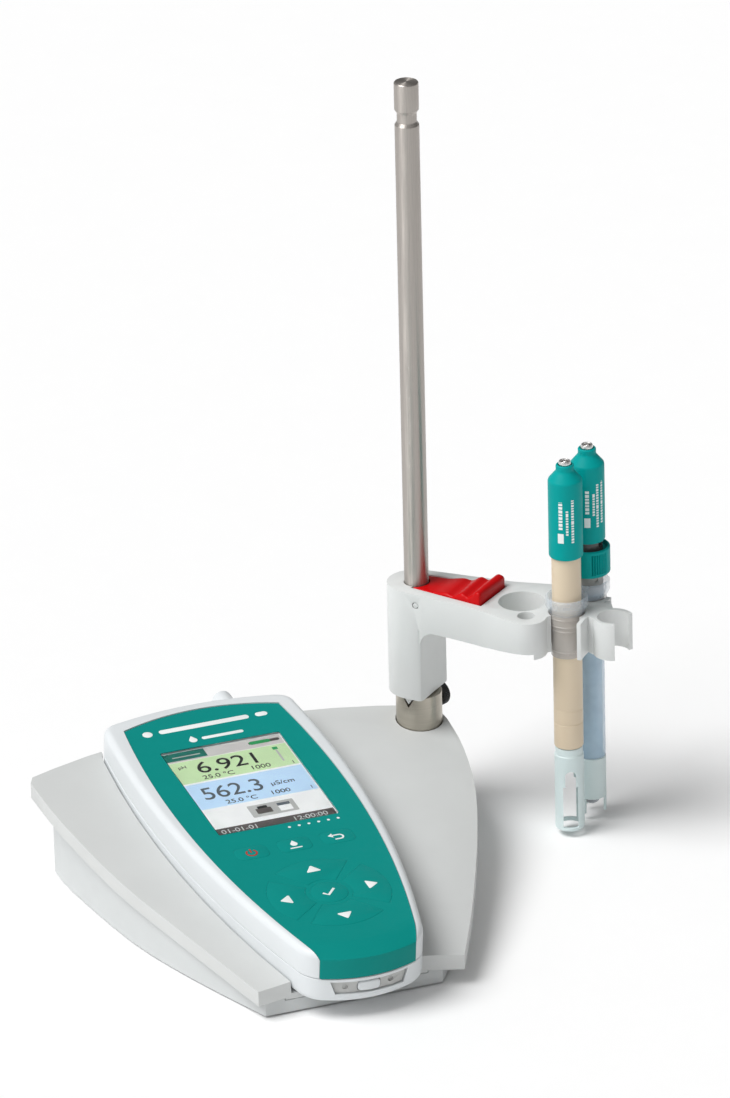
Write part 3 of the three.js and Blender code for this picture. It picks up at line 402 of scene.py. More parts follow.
def rounded(profile, radius, steps=4):
    """A line of points with its inner corners turned into arcs."""
    result = [profile[0]]
    for before, corner, after in zip(profile, profile[1:], profile[2:]):
        a, b, c = Vector(before), Vector(corner), Vector(after)
        into, out = (a - b), (c - b)
        reach = min(radius, into.length * 0.45, out.length * 0.45)
        start, end = b + into.normalized() * reach, b + out.normalized() * reach
        for k in range(steps + 1):
            t = k / steps
            point = start * (1 - t) ** 2 + b * 2 * t * (1 - t) + end * t * t
            result.append(tuple(point))
    result.append(profile[-1])
    return result


def lathe(node, profile, where, material, sides, edge=0.25, wave=None, smooth=32):
    """A turned piece that stands for a node, from (radius, height) points that start and end on the axis or
    close up as a ring. wave(angle, radius, height) gives the radius at an angle, for ribs and knurls."""
    closed = profile[0] == profile[-1]
    profile = rounded(profile, edge)
    if closed:
        profile = profile[:-1]
    points, index = [], []
    for radius, height in profile:
        if radius < 1e-6:
            index.append([len(points)] * sides)
            points.append((0, 0, height))
            continue
        row = []
        for k in range(sides):
            angle = 2 * math.pi * k / sides
            reach = wave(angle, radius, height) if wave else radius
            row.append(len(points))
            points.append((reach * math.cos(angle), reach * math.sin(angle), height))
        index.append(row)
    faces = []
    pairs = list(zip(index, index[1:])) + ([(index[-1], index[0])] if closed else [])
    for lower, upper in pairs:
        for k in range(sides):
            n = (k + 1) % sides
            face = []
            for corner in (lower[k], lower[n], upper[n], upper[k]):
                if corner not in face:
                    face.append(corner)
            if len(face) > 2:
                faces.append(tuple(face))
    piece = build(node + "_finished", points, faces, where, material, smooth)
    stands_for(piece, node)
    return piece


def tube_profile(inner, outer, bottom, top):
    return [(inner, bottom), (outer, bottom), (outer, top), (inner, top), (inner, bottom)]


def from_curve(name, curve, place, material):
    """The mesh object that a curve or text makes, moved to its place."""
    source = linked(name, curve)
    mesh = evaluated(source)
    bpy.data.objects.remove(source)
    bpy.data.curves.remove(curve)
    mesh.transform(place)
    mesh.name = name
    piece = linked(name, mesh)
    finish_mesh(piece, material)
    return piece


def plate(name, outlines, bottom, top, where, material, edge):
    """A plate with rounded edges from closed outlines; outlines inside others are holes."""
    curve = bpy.data.curves.new(name, "CURVE")
    curve.dimensions = "2D"
    curve.fill_mode = "BOTH"
    curve.extrude = (top - bottom) / 2 - edge
    curve.bevel_depth = edge
    curve.bevel_resolution = 2
    curve.offset = -edge
    for outline in outlines:
        spline = curve.splines.new("POLY")
        spline.points.add(len(outline) - 1)
        for point, (x, y) in zip(spline.points, outline):
            point.co = (x, y, 0, 1)
        spline.use_cyclic_u = True
    return from_curve(name, curve, where @ Matrix.Translation((0, 0, (bottom + top) / 2)), material)


def refined(node, material, edge, segments=3, smooth=32):
    """A finished copy of a CAD solid: flat faces merged, edges rounded, round stretches shaded smooth."""
    mesh = frame["nodes"][node].data.copy()
    piece = linked(node + "_finished", mesh)
    work = bmesh.new()
    work.from_mesh(mesh)
    bmesh.ops.remove_doubles(work, verts=work.verts, dist=2e-6)
    bmesh.ops.dissolve_limit(work, angle_limit=math.radians(0.6), verts=work.verts, edges=work.edges)
    work.to_mesh(mesh)
    work.free()
    finish_mesh(piece, material, smooth)
    if edge:
        soften(piece, edge, segments, 35, smooth)
    stands_for(piece, node)
    return piece


# ---------------- outlines
def quadratic(start, control, end, steps):
    """Points of a quadratic curve, without its last one."""
    points = []
    for k in range(steps):
        t = k / steps
        points.append(tuple((1 - t) ** 2 * a + 2 * t * (1 - t) * b + t * t * c
                            for a, b, c in zip(start, control, end)))
    return points


def arc(x, y, radius, start, end, steps):
    """Points of a circular arc in degrees, both ends included."""
    turn = [math.radians(start + (end - start) * k / steps) for k in range(steps + 1)]
    return [(x + radius * math.cos(a), y + radius * math.sin(a)) for a in turn]


def circle(x, y, radius, steps=48):
    return arc(x, y, radius, 0, 360, steps)[:-1]


def rounded_rect(x, y, half_x, half_y, radius, steps=8):
    points = []
    for sx, sy, start in ((1, -1, -90), (1, 1, 0), (-1, 1, 90), (-1, -1, 180)):
        middle = (x + sx * (half_x - radius), y + sy * (half_y - radius))
        points += arc(*middle, radius, start, start + 90, steps)
    return points


def upright(outline, bottom, top, where=METER):
    """A block for cutting or joining, with an outline in x and y, from one height to another."""
    return loft("block", [[(x, y, z) for x, y in outline] for z in (bottom, top)], where, BLACK)


def standing(outline, front, back, where=METER):
    """A block for cutting, with an outline in x and z, from one y to another."""
    return loft("block", [[(x, y, z) for x, z in outline] for y in (front, back)], where, BLACK)


# ---------------- plan of the instrument
CASE_BOTTOM, SEAM, SEAM_PULL = -22.5, -11.5, 0.25
CASE_EDGE, CASE_WALL = 3.0, 2.3
NOSE, NOSE_SIDE, NOSE_HALF = -18.5, -14.3, 19.0
REAR = 183.0
SIDE_FRONT, SIDE_REAR = -3.0, 171.0


def case_half(y):
    """Half the casing's width at a distance along it."""
    return 43.5 - 0.001 * (y - 125) ** 2


def case_outline(pull=0.0):
    """Plan of the instrument's casing, pulled in by a distance; the number of points never changes."""
    def half(y):
        return case_half(y) - pull
    nose_side = NOSE_SIDE + pull
    rear_side = REAR - 4.5 - pull
    corner = half(SIDE_REAR)
    points = quadratic((NOSE_HALF, nose_side), (half(SIDE_FRONT) - 1.2, nose_side + 3.2),
                       (half(SIDE_FRONT), SIDE_FRONT), 14)
    side = [SIDE_FRONT + (SIDE_REAR - SIDE_FRONT) * k / 40 for k in range(40)]
    points += [(half(y), y) for y in side]
    points += quadratic((corner, SIDE_REAR), (corner, rear_side), (corner - 8, rear_side + 1), 12)
    points += quadratic((corner - 8, rear_side + 1), (0, REAR + 3.5 - pull), (8 - corner, rear_side + 1), 24)
    points += quadratic((8 - corner, rear_side + 1), (-corner, rear_side), (-corner, SIDE_REAR), 12)
    points += [(-half(y), y) for y in reversed(side[1:] + [SIDE_REAR])]
    points += quadratic((-half(SIDE_FRONT), SIDE_FRONT), (1.2 - half(SIDE_FRONT), nose_side + 3.2),
                        (-NOSE_HALF, nose_side), 14)
    points += quadratic((-NOSE_HALF, nose_side), (0, 2 * (NOSE + pull) - nose_side),
                        (NOSE_HALF, nose_side), 24)
    return points


def panel_half(y):
    """Half the panel's width at a distance along it."""
    return 37.6 - 0.00108 * (y - 110) ** 2


FOLD, FOLD_BOW = -3.6, 4.4
FACET_DROP = 2.2
APRON_HALF, APRON_SIDE, APRON_BOTTOM = 20.3, -14.1, -11.1
PANEL_CORNER, PANEL_REAR = 170.5, 177.0


def panel_grid(grow=0.0, sink=0.0, rise=0.0):
    """Rows of points over the panel's surface, from its rear edge to the foot of its apron.
    grow widens it, sink moves it into the case, and rise shifts it outwards."""
    columns = 48
    flat_rows, facet_rows, apron_rows = 30, 9, 8
    rows = []
    for i in range(flat_rows + facet_rows + apron_rows + 1):
        row = []
        for j in range(columns + 1):
            t = 2 * j / columns - 1
            fold = FOLD - FOLD_BOW * (1 - t * t)
            nose = APRON_SIDE + (NOSE - NOSE_SIDE) * (1 - t * t)
            if i <= flat_rows:
                s = i / flat_rows
                rear = PANEL_REAR - (PANEL_REAR - PANEL_CORNER) * t * t + grow
                y = rear + (fold - rear) * s
                side = panel_half(PANEL_CORNER + (FOLD - PANEL_CORNER) * s)
                point = (t * (side + grow), y, -sink)
                outwards = (0, 0, 1)
            elif i <= flat_rows + facet_rows:
                s = (i - flat_rows) / facet_rows
                y = fold + (nose + sink - fold) * s
                first = panel_half(FOLD)
                side = first + (APRON_HALF - first) * s ** 1.2
                point = (t * (side + grow), y, -sink - FACET_DROP * s ** 1.15)
                outwards = (0, -s, 1)
            else:
                s = (i - flat_rows - facet_rows) / apron_rows
                top = -sink - FACET_DROP
                z = top + (APRON_BOTTOM - top - (sink > 0) * grow) * s
                point = (t * (APRON_HALF + grow), nose + sink, z)
                outwards = (0, -1, 1 - min(1, 2 * s))
            row.append(tuple(p + rise * k for p, k in zip(point, outwards)))
        rows.append(row)
    return rows


# ---------------- instrument
WINDOW = (0, 116.5, 26.0, 33.5)
KEY_ROW, KEY_PITCH = 66.5, 18.4
HUB, HUB_REACH = 28.6, 17.7
KEY_TOP, PANEL_TOP = 0.05, -0.02
FILM, FILM_EDGE = 0.05, 0.01
KEYS = {"key_power": (-KEY_PITCH, KEY_ROW), "key_cal": (0, KEY_ROW), "key_back": (KEY_PITCH, KEY_ROW),
        "key_right": (HUB_REACH, HUB), "key_up": (0, HUB + HUB_REACH), "key_left": (-HUB_REACH, HUB),
        "key_down": (0, HUB - HUB_REACH), "key_ok": (0, HUB)}
SECTORS = {"key_right": 0, "key_up": 90, "key_left": 180, "key_down": 270}
SOCKETS = {"socket_ph": (16.5, -6.2, 4.2), "socket_cell": (-3.0, -16.6, 3.9)}
USB = (-21.0, -16.6, 4.6, 2.2)
SOCKET_GAP = 0.3


def key_outline(name, grow=0.0):
    """Plan of a key, grown by a distance: three lie in a row, and four sectors round a disc."""
    x, y = KEYS[name]
    if y == KEY_ROW:
        return rounded_rect(x, KEY_ROW, 7 + grow, 4.6 + grow, 3 + grow)
    if name == "key_ok":
        return circle(0, HUB, 7.6 + grow)
    middle, half = SECTORS[name], 38
    inner, outer = 9.6 - grow, 25 + grow
    wide, narrow = math.degrees(grow / outer), math.degrees(grow / inner)
    points = arc(0, HUB, outer, middle - half - wide, middle + half + wide, 26)
    points += arc(0, HUB, inner, middle + half + narrow, middle - half - narrow, 14)
    return [Vector(point) for point in points]


def case_rings(levels, bend_start, bend):
    """Rings of the casing's outer surface: up or down its side through the levels, then round its edge.
    bend gives the height of a ring from its distance to the flat top or bottom."""
    rings = [[(x, y, levels[0]) for x, y in case_outline(SEAM_PULL)]]
    rings += [[(x, y, z) for x, y in case_outline()] for z in levels[1:]]
    for k in range(bend_start, 9):
        angle = math.pi / 2 * k / 8
        outline = case_outline(CASE_EDGE * (1 - math.cos(angle)))
        rings.append([(x, y, bend(CASE_EDGE * (1 - math.sin(angle)))) for x, y in outline])
    return rings


def socket_holes():
    """Blocks that cut the rear wall clear of the round sockets."""
    return [standing(circle(x, z, radius + SOCKET_GAP), 150, 200) for x, z, radius in SOCKETS.values()]


def make_lower_case():
    rings = case_rings((SEAM - 0.12, SEAM - 0.35, -14, -17), 0, lambda rise: CASE_BOTTOM + rise)
    shell = loft("lower_case_finished", rings[::-1], METER, WHITE, 24)
    inner = upright(case_outline(CASE_WALL), CASE_BOTTOM + 2.2, 4)
    end_window = standing([(-16.5, -12.8), (-14.5, -18.6), (14.5, -18.6), (16.5, -12.8)], -40, -5)
    x, z, half_x, half_z = USB
    usb_hole = standing(rounded_rect(x, z, half_x + SOCKET_GAP, half_z + SOCKET_GAP, 0.6), 150, 200)
    battery = upright(rounded_rect(0, 62, 26, 34, 3), -30, -18)
    combine(shell, [inner, end_window] + socket_holes() + [usb_hole, battery], smooth=24)
    stands_for(shell, "lower_case")


def make_upper_case():
    top = 0.4
    rings = case_rings((SEAM + 0.12, SEAM + 0.35, -8, -5, top - CASE_EDGE), 1, lambda depth: top - depth)
    shell = loft("upper_case_finished", rings, METER, WHITE, 24)
    recess = grid_solid("block", panel_grid(0.22, 1.3), panel_grid(0.22, 1.3, 14), METER, WHITE)
    inner_plan = case_outline(CASE_WALL)
    ceiling = [(x, y, -3.6 - max(0.0, 2 - y) * 0.2) for x, y in inner_plan]
    inner = loft("block", [[(x, y, -14) for x, y in inner_plan], ceiling], METER, WHITE)
    wells = [upright(rounded_rect(*WINDOW, 0.8), -9, 5)]
    wells += [upright(key_outline(name, -1.2), -9, 0) for name in KEYS]
    combine(shell, [inner, recess] + wells + socket_holes(), smooth=24)
    stands_for(shell, "upper_case")


def make_front_panel():
    panel = grid_solid("front_panel_finished", panel_grid(0, 1.0), panel_grid(), METER, TEAL, 20)
    cutters = [upright(rounded_rect(*WINDOW, 0.8), -5, 5)]
    cutters += [upright(key_outline(name, 0.06), -5, 5) for name in KEYS]
    combine(panel, cutters, smooth=20)
    soften(panel, 0.08, 2, 50, 20)
    stands_for(panel, "front_panel")


def make_keys():
    for name, stem in KEYS.items():
        key = plate(name + "_finished", [key_outline(name)], -0.7, KEY_TOP, METER, TEAL, 0.08)
        combine(key, [upright(circle(*stem, 3.2, 32), -4.2, -0.5)], "UNION")
        stands_for(key, name)


def mark(name, outline, node, material=INK, height=KEY_TOP):
    """A printed mark on the instrument: a thin film lying on a surface."""
    film = plate(name, [outline], height, height + FILM, METER, material, FILM_EDGE)
    rides_with(film, node)


def stroke(points, width):
    """Outline of a line of even width with square ends."""
    left, right = [], []
    for k, (x, y) in enumerate(points):
        x0, y0 = points[max(0, k - 1)]
        x1, y1 = points[min(len(points) - 1, k + 1)]
        along = Vector((x1 - x0, y1 - y0)).normalized()
        left.append((x - along.y * width / 2, y + along.x * width / 2))
        right.append((x + along.y * width / 2, y - along.x * width / 2))
    return left + right[::-1]


def drop_shape(x, tip, y, radius):
    """Outline of a falling drop."""
    return [(x, tip)] + arc(x, y, radius, 25, -205, 24)


def make_key_marks():
    power = stroke(arc(-KEY_PITCH, KEY_ROW - 0.2, 2.1, 125, 415, 30), 0.75)
    mark("power_ring", power, "key_power", RED_INK)
    power_bar = rounded_rect(-KEY_PITCH, KEY_ROW + 1.3, 0.36, 1.4, 0.2, 3)
    mark("power_bar", power_bar, "key_power", RED_INK)

    # calibration key: a drop over a level line
    mark("drop", drop_shape(0, KEY_ROW + 3.1, KEY_ROW + 0.5, 1.45), "key_cal")
    mark("drop_line", rounded_rect(0, KEY_ROW - 2.4, 2.6, 0.38, 0.3, 3), "key_cal")

    # back key: an arrow that turns back
    shaft = [(KEY_PITCH - 2.2, KEY_ROW + 1.2), (KEY_PITCH + 0.6, KEY_ROW + 1.2)]
    shaft += arc(KEY_PITCH + 0.9, KEY_ROW - 0.3, 1.5, 90, -90, 14)
    shaft.append((KEY_PITCH - 1.4, KEY_ROW - 1.8))
    mark("back_shaft", stroke(shaft, 0.75), "key_back")
    head = [(KEY_PITCH - 3.6, KEY_ROW + 1.2), (KEY_PITCH - 1.6, KEY_ROW - 0.3),
            (KEY_PITCH - 1.6, KEY_ROW + 2.7)]
    mark("back_head", head, "key_back")

    # middle key: a tick
    tick = [(-2.7, HUB - 0.1), (-0.8, HUB - 1.9), (2.8, HUB + 2.1)]
    mark("tick", stroke(tick, 1.05), "key_ok")

    # arrows: triangles with slightly rounded corners
    reach = 17.6
    for name, angle in SECTORS.items():
        turn = Matrix.Rotation(math.radians(angle), 2)
        corners = []
        for bearing in (0, 120, 240):
            x, y = 2.35 * math.cos(math.radians(bearing)), 2.8 * math.sin(math.radians(bearing))
            corners += arc(x + 0.2, y, 0.45, bearing - 60, bearing + 60, 5)
        points = [turn @ Vector((x + reach, y)) for x, y in corners]
        mark("arrow" + name.removeprefix("key"), [(p.x, p.y + HUB) for p in points], name)


def lettering(name, text, x, y, size, material, height, weight=0.0, widen=1.0):
    """Plain digits and units on the display, as thin film."""
    curve = bpy.data.curves.new(name, "FONT")
    curve.body = text
    curve.size = size
    curve.extrude = 0.02
    curve.offset = weight
    place = METER @ Matrix.Translation((x, y, height)) @ Matrix.Diagonal((widen, 1, 1, 1))
    rides_with(from_curve(name, curve, place, material), "lcd_module")


def screen_tile(name, colour, box, bottom, top, radius, steps):
    """A field of one colour on the display."""
    x0, x1, y0, y1 = box
    outline = rounded_rect((x0 + x1) / 2, (y0 + y1) / 2, (x1 - x0) / 2, (y1 - y0) / 2, radius, steps)
    tile = plate("screen_" + name, [outline], bottom, top, METER, SCREEN[colour], FILM_EDGE)
    rides_with(tile, "lcd_module")


def make_display():
    x, y, half_x, half_y = WINDOW
    level = -1.25
    pane = plate("display_window_finished", [rounded_rect(x, y, half_x - 0.25, half_y - 0.25, 0.6)],
                 -0.9, -0.12, METER, PANE, 0.08)
    stands_for(pane, "display_window")
    body = plate("lcd_module_finished", [rounded_rect(x, y, half_x - 0.3, half_y - 0.3, 0.5)],
                 -5.4, level, METER, SCREEN["light"], 0.1)
    stands_for(body, "lcd_module")

    # fields across the display, with the menu tab a little above the header
    left, right = -half_x + 0.6, half_x - 0.6
    fields = (("header", "header", (left, right, 142.5, 149.4), 0),
              ("tab", "tab", (left, -7.5, 143.4, 149.4), 0.02),
              ("green_field", "green", (left, right, 125.5, 142.2), 0),
              ("blue_field", "blue", (left, right, 104.8, 124.3), 0),
              ("light_field", "light", (left, right, 89.4, 104.5), 0),
              ("bottom_bar", "dark", (left, right, 83.6, 89.1), 0))
    for name, colour, box, lift in fields:
        screen_tile(name, colour, box, level + lift, level + lift + 0.06, 0.1, 2)

    # small signs on the fields
    top = level + 0.09
    signs = (("battery", "dark", (11, 24.4, 145.2, 147.2), 0.9, 0),
             ("charge", "level", (11.4, 20.4, 145.0, 147.4), 0.9, 0.02),
             ("tab_line", "button", (-22, -10, 145.6, 146.3), 0.2, 0),
             ("level_cap", "level", (18.9, 21.1, 138.6, 140.6), 0.2, 0),
             ("level_bar", "button", (19.6, 20.4, 129.4, 138.4), 0.2, 0),
             ("icons", "button", (-7.2, 12.4, 92.2, 101.2), 0.4, 0),
             ("icon_left", "dark", (-4.6, 2.0, 94.2, 98.2), 0.4, 0.02),
             ("icon_left_top", "black", (-3.4, 0.8, 98.0, 99.8), 0.2, 0.02),
             ("icon_right", "light", (5.0, 10.4, 93.6, 99.6), 0.3, 0.02),
             ("icon_right_edge", "slate", (5.0, 10.4, 97.6, 99.6), 0.2, 0.04))
    for name, colour, box, radius, lift in signs:
        screen_tile(name, colour, box, level + 0.05 + lift, top + lift, radius, 3)

    over = top + 0.02
    dark, slate = SCREEN["black"], SCREEN["slate"]
    lettering("reading_1", "6.921", -15.8, 131.4, 12.0, dark, over, 0.03, 1.06)
    lettering("reading_2", "562.3", -21.0, 111.4, 12.8, slate, over, 0.03, 0.94)
    lettering("unit_1", "pH", -22.6, 137.0, 3.0, dark, over, 0.01)
    lettering("unit_2", "µS/cm", 8.2, 113.0, 4.2, dark, over, 0.01)
    small = (("small_1", "25.0 °C", -15.6, 126.6, 4.0, dark), ("small_2", "25.0 °C", -13.6, 105.9, 4.0, dark),
             ("small_3", "1000", 5.0, 127.0, 4.0, dark), ("small_4", "1000", 5.6, 106.5, 4.0, dark),
             ("small_5", "1", 22.4, 126.2, 3.0, dark), ("small_6", "1", 22.4, 105.9, 3.0, dark),
             ("clock", "12:00:00", 7.0, 84.9, 4.0, INK), ("date", "01-01-01", -23.6, 84.9, 4.0, INK))
    for row in small:
        lettering(*row, over, 0.012, 1.1)


def make_panel_marks():
    """Plain white bars and a drop where such a panel carries its title."""
    marks = {"title_dot": circle(-25.5, 165.2, 2.1, 32),
             "title_bar": rounded_rect(-1.0, 165.2, 19.5, 1.5, 1.4, 6),
             "title_bar_end": rounded_rect(24.0, 165.2, 2.6, 1.5, 1.4, 6),
             "panel_drop": drop_shape(-9.4, 158.4, 155.2, 1.7),
             "panel_bar": rounded_rect(3.4, 155.4, 9.0, 1.0, 0.9, 5)}
    for k in range(6):
        marks[f"panel_dot_{k + 1}"] = circle(3 + 4.2 * k, 79.6, 0.62, 20)
    for name, outline in marks.items():
        mark(name, outline, "front_panel", height=PANEL_TOP)


def make_end():
    panel = refined("end_panel", END_GREY, 0.25, 2)
    for x in (-10.6, 8.6):
        combine(panel, [standing(circle(x, -15.4, 1.2, 24), -19.5, -15.7)])
    refined("end_button", WHITE, 0.6, 4)


def make_sockets():
    lay = Matrix.Rotation(-math.pi / 2, 4, "X")
    x, z, radius = SOCKETS["socket_ph"]
    where = METER @ Matrix.Translation((x, 0, z)) @ lay
    profile = [(0, 171), (radius, 171), (radius, 190.6), (radius - 0.8, 191), (2.9, 191), (2.9, 186),
               (1.1, 186), (1.1, 190), (0, 190.2)]
    lathe("socket_ph", profile, where, WHITE, 56)
    x, z, radius = SOCKETS["socket_cell"]
    where = METER @ Matrix.Translation((x, 0, z)) @ lay
    profile = [(0, 171), (radius, 171), (radius, 184.2), (radius - 0.5, 184.6), (2.6, 184.6), (2.6, 179.6),
               (1.0, 179.6), (1.0, 183.4), (0, 183.6)]

    def thread(angle, reach, height):
        return reach + (0.12 * math.sin(height * 9) if reach > 3.5 and height > 180 else 0)

    lathe("socket_cell", profile, where, NICKEL, 56, wave=thread)
    refined("socket_usb", NICKEL, 0.15, 2)


def make_inner_parts():
    refined("main_board", BOARD, 0.1, 1)
    refined("keypad_mat", RUBBER, 0.3, 2)
    refined("battery_pack", BLACK, 1.2, 3)
    refined("battery_cover", WHITE, 0.4, 2)
    refined("case_seal", RUBBER, 0)
    for k in range(1, 5):
        refined(f"case_screw_{k}", STEEL, 0.15, 2)


# ---------------- base
def make_base():
    refined("base_cover", GREY, 0.8, 4, 24)
    refined("base_skirt", SKIRT, 0.5, 2, 24)
    refined("base_weight", PLATE_STEEL, 0.4, 2)
    for place in ("front_left", "front_right", "rear_left", "rear_right"):
        refined("foot_" + place, RUBBER, 0.3, 3)
    refined("rod_bolt", STEEL, 0.2, 2)


# ---------------- stand
def make_stand():
    profile = [(0, 4.6), (5, 4.6), (5, 300.2), (4.05, 301.6), (4.05, 305.4), (5, 306.9), (5, 318.2),
               (4.6, 318.6), (0, 318.6)]
    lathe("stand_rod", profile, ROD, STEEL, 96, 0.18)

    ring = lathe("stop_ring", tube_profile(5.3, 9.5, 35.4, 50.5), HOLDER, NICKEL, 128, 0.35)
    notch = standing([(-3.1, 51.1), (0, 46), (3.1, 51.1)], 0, -20, HOLDER)
    knob_turn = Matrix.Rotation(math.radians(75), 4, "Z") @ Matrix.Rotation(math.pi / 2, 4, "Y")
    knob_frame = HOLDER @ Matrix.Translation((0, 0, 44.6)) @ knob_turn
    combine(ring, [notch, upright(circle(0, 0, 2.1, 32), 0, 20, knob_frame)])
    soften(ring, 0.15, 2, 40)

    def knurl(angle, radius, height):
        return radius * (1 - 0.045 * (0.5 + 0.5 * math.cos(40 * angle)) ** 2) if radius > 4.4 else radius

    profile = [(0, 5.4), (1.7, 5.4), (1.7, 10), (4.6, 10), (5.2, 10.6), (5.2, 13.4), (4.6, 14), (2.6, 14),
               (2.2, 13.6), (0, 13.6)]
    lathe("ring_screw", profile, knob_frame, BLACK, 320, 0.12, knurl, 50)


# ---------------- holder arm
ARM_TOP = 99.0

# the lever, with u along the arm and v across it: heights of its top along u, the v of its sides at its two
# ends, and the u of its ends at its two sides
LEVER_CREST = ((-1, 0), (10, 0), (17.8, 1.25), (20.6, 0.8), (25.3, 2.95), (28, 2.1), (32.6, 5.3), (36.5, 3.9))
LEVER_FRONT, LEVER_REAR = (-6.2, -10.5), (7.9, 11.2)
LEVER_START, LEVER_END = (0.9, 1.6), (34.3, 35.0)


def lever_height(u):
    """Height of the lever's top above the arm along its length: two grip ridges, then the hump."""
    for (u0, h0), (u1, h1) in zip(LEVER_CREST, LEVER_CREST[1:]):
        if u <= u1:
            s = max(0.0, (u - u0) / (u1 - u0))
            return h0 + (h1 - h0) * s * s * (3 - 2 * s)
    return LEVER_CREST[-1][1]


def make_lever():
    """The red lever: a wedge whose sides spread away from the rod, with a wave of grip ridges on top."""
    rings = []
    bottom, radius, stations, across = 91.7, 1.2, 110, 18
    length = LEVER_END[0] - LEVER_START[0]
    for k in range(stations + 1):
        s = k / stations
        near_end = min(s, 1 - s) * length
        pinch = 0.9 * (1 - math.sqrt(max(0, 1 - (1 - min(1, near_end / 0.9)) ** 2)))
        low = LEVER_FRONT[0] + (LEVER_FRONT[1] - LEVER_FRONT[0]) * s + pinch
        high = LEVER_REAR[0] + (LEVER_REAR[1] - LEVER_REAR[0]) * s - pinch

        def along(v):
            t = max(0, min(1, (v - LEVER_FRONT[0]) / (LEVER_REAR[0] - LEVER_FRONT[0])))
            first, last = (a + (b - a) * t for a, b in (LEVER_START, LEVER_END))
            return first + (last - first) * s

        section = [(along(low), low, bottom + pinch), (along(high), high, bottom + pinch)]
        edge = arc(high - radius, -radius, radius, 0, 90, 6)
        edge += [(high - radius - (high - low - 2 * radius) * j / across, 0.0) for j in range(1, across)]
        edge += arc(low + radius, -radius, radius, 90, 180, 6)
        for v, z in edge:
            t = (v - (low + high) / 2) / (high - low) * 2
            crown = 0.22 * (1 - t * t) - 0.1
            u = along(v)
            section.append((u, v, ARM_TOP + lever_height(u) + z + crown - pinch))
        rings.append(section)
    lever = loft("release_lever_finished", rings, HOLDER, RED, 50)
    combine(lever, [upright(circle(0, 0, 5.6, 64), 80, 110, HOLDER)], smooth=50)
    stands_for(lever, "release_lever")


def make_holder():
    refined("holder_arm", ARM_WHITE, 0.7, 3, 26)
    make_lever()
    for place in ("front", "rear"):
        refined("lever_pin_" + place, ARM_WHITE, 0.2, 2)
    spring = refined("lever_spring", STEEL, 0)
    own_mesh(spring)


# ---------------- electrodes
def make_sleeve(node, where):
    """A clear adapter sleeve with four fine beads round it and a cup at its top."""
    profile = [(6.3, 80.6), (6.75, 80.6), (6.85, 82.7), (7.15, 82.9), (7.15, 83.4), (6.9, 83.6), (6.85, 92),
               (7.2, 92.2), (7.2, 92.7), (6.95, 92.9), (7.0, 94), (7.35, 94.2), (7.35, 94.7), (7.1, 94.9),
               (7.1, 97.2), (7.4, 97.4), (7.4, 97.9), (7.2, 98.1), (7.2, 99.3), (8.7, 102.2), (8.7, 105.8),
               (8.2, 106.3), (7.7, 106.3), (7.2, 105.6), (7.2, 101.6), (6.3, 100.4), (6.3, 80.6)]
    lathe(node, profile, where, SLEEVE, 88, 0.12)


def make_head(prefix, where):
    """An electrode's head with the metal plug socket in its top."""
    profile = [(0, 131.1), (6.25, 131.1), (6.25, 124.1), (6.5, 124.1), (7.0, 124.6), (7.0, 157.0),
               (6.85, 157.9), (4.1, 161.2), (3.7, 161.9), (3.7, 164.0), (3.3, 164.4), (2.9, 164.4),
               (2.9, 156.4), (0, 156.4)]
    lathe(prefix + "_head", profile, where, TEAL_PART, 88, 0.35)
    contact = [(0, 156.9), (2.55, 156.9), (2.55, 165.0), (2.3, 165.8), (1.75, 165.9), (1.6, 165.4),
               (1.6, 163), (0.75, 163), (0.7, 165.2), (0.3, 165.6), (0, 165.6)]
    lathe(prefix + "_socket", contact, where, CONTACT, 56, 0.12)


def head_marks(prefix, where, facing, rows):
    """Columns of small plain white dashes on an electrode's head, where such a head is printed."""
    radius, gap = 7.03, 0.42
    for k, (turn, low, high, width, dashes) in enumerate(rows):
        points, faces = [], []
        z = low
        for n, length in enumerate(dashes):
            top = min(high, z + length)
            for reach in (radius - 0.2, radius + 0.03):
                for level in (z, top):
                    for side in (-1, 0, 1):
                        angle = math.radians(facing + turn + side * width / 2)
                        points.append((reach * math.cos(angle), reach * math.sin(angle), level))
            a = 12 * n
            quads = ((0, 1, 4, 3), (1, 2, 5, 4), (6, 9, 10, 7), (7, 10, 11, 8), (0, 3, 9, 6), (2, 8, 11, 5),
                     (0, 6, 7, 1), (1, 7, 8, 2), (3, 4, 10, 9), (4, 5, 11, 10))
            faces += [tuple(a + corner for corner in quad) for quad in quads]
            z = top + gap
            if z > high:
                break
        film = build(f"{prefix}_dashes_{k + 1}", points, faces, where, INK)
        rides_with(film, prefix + "_head")


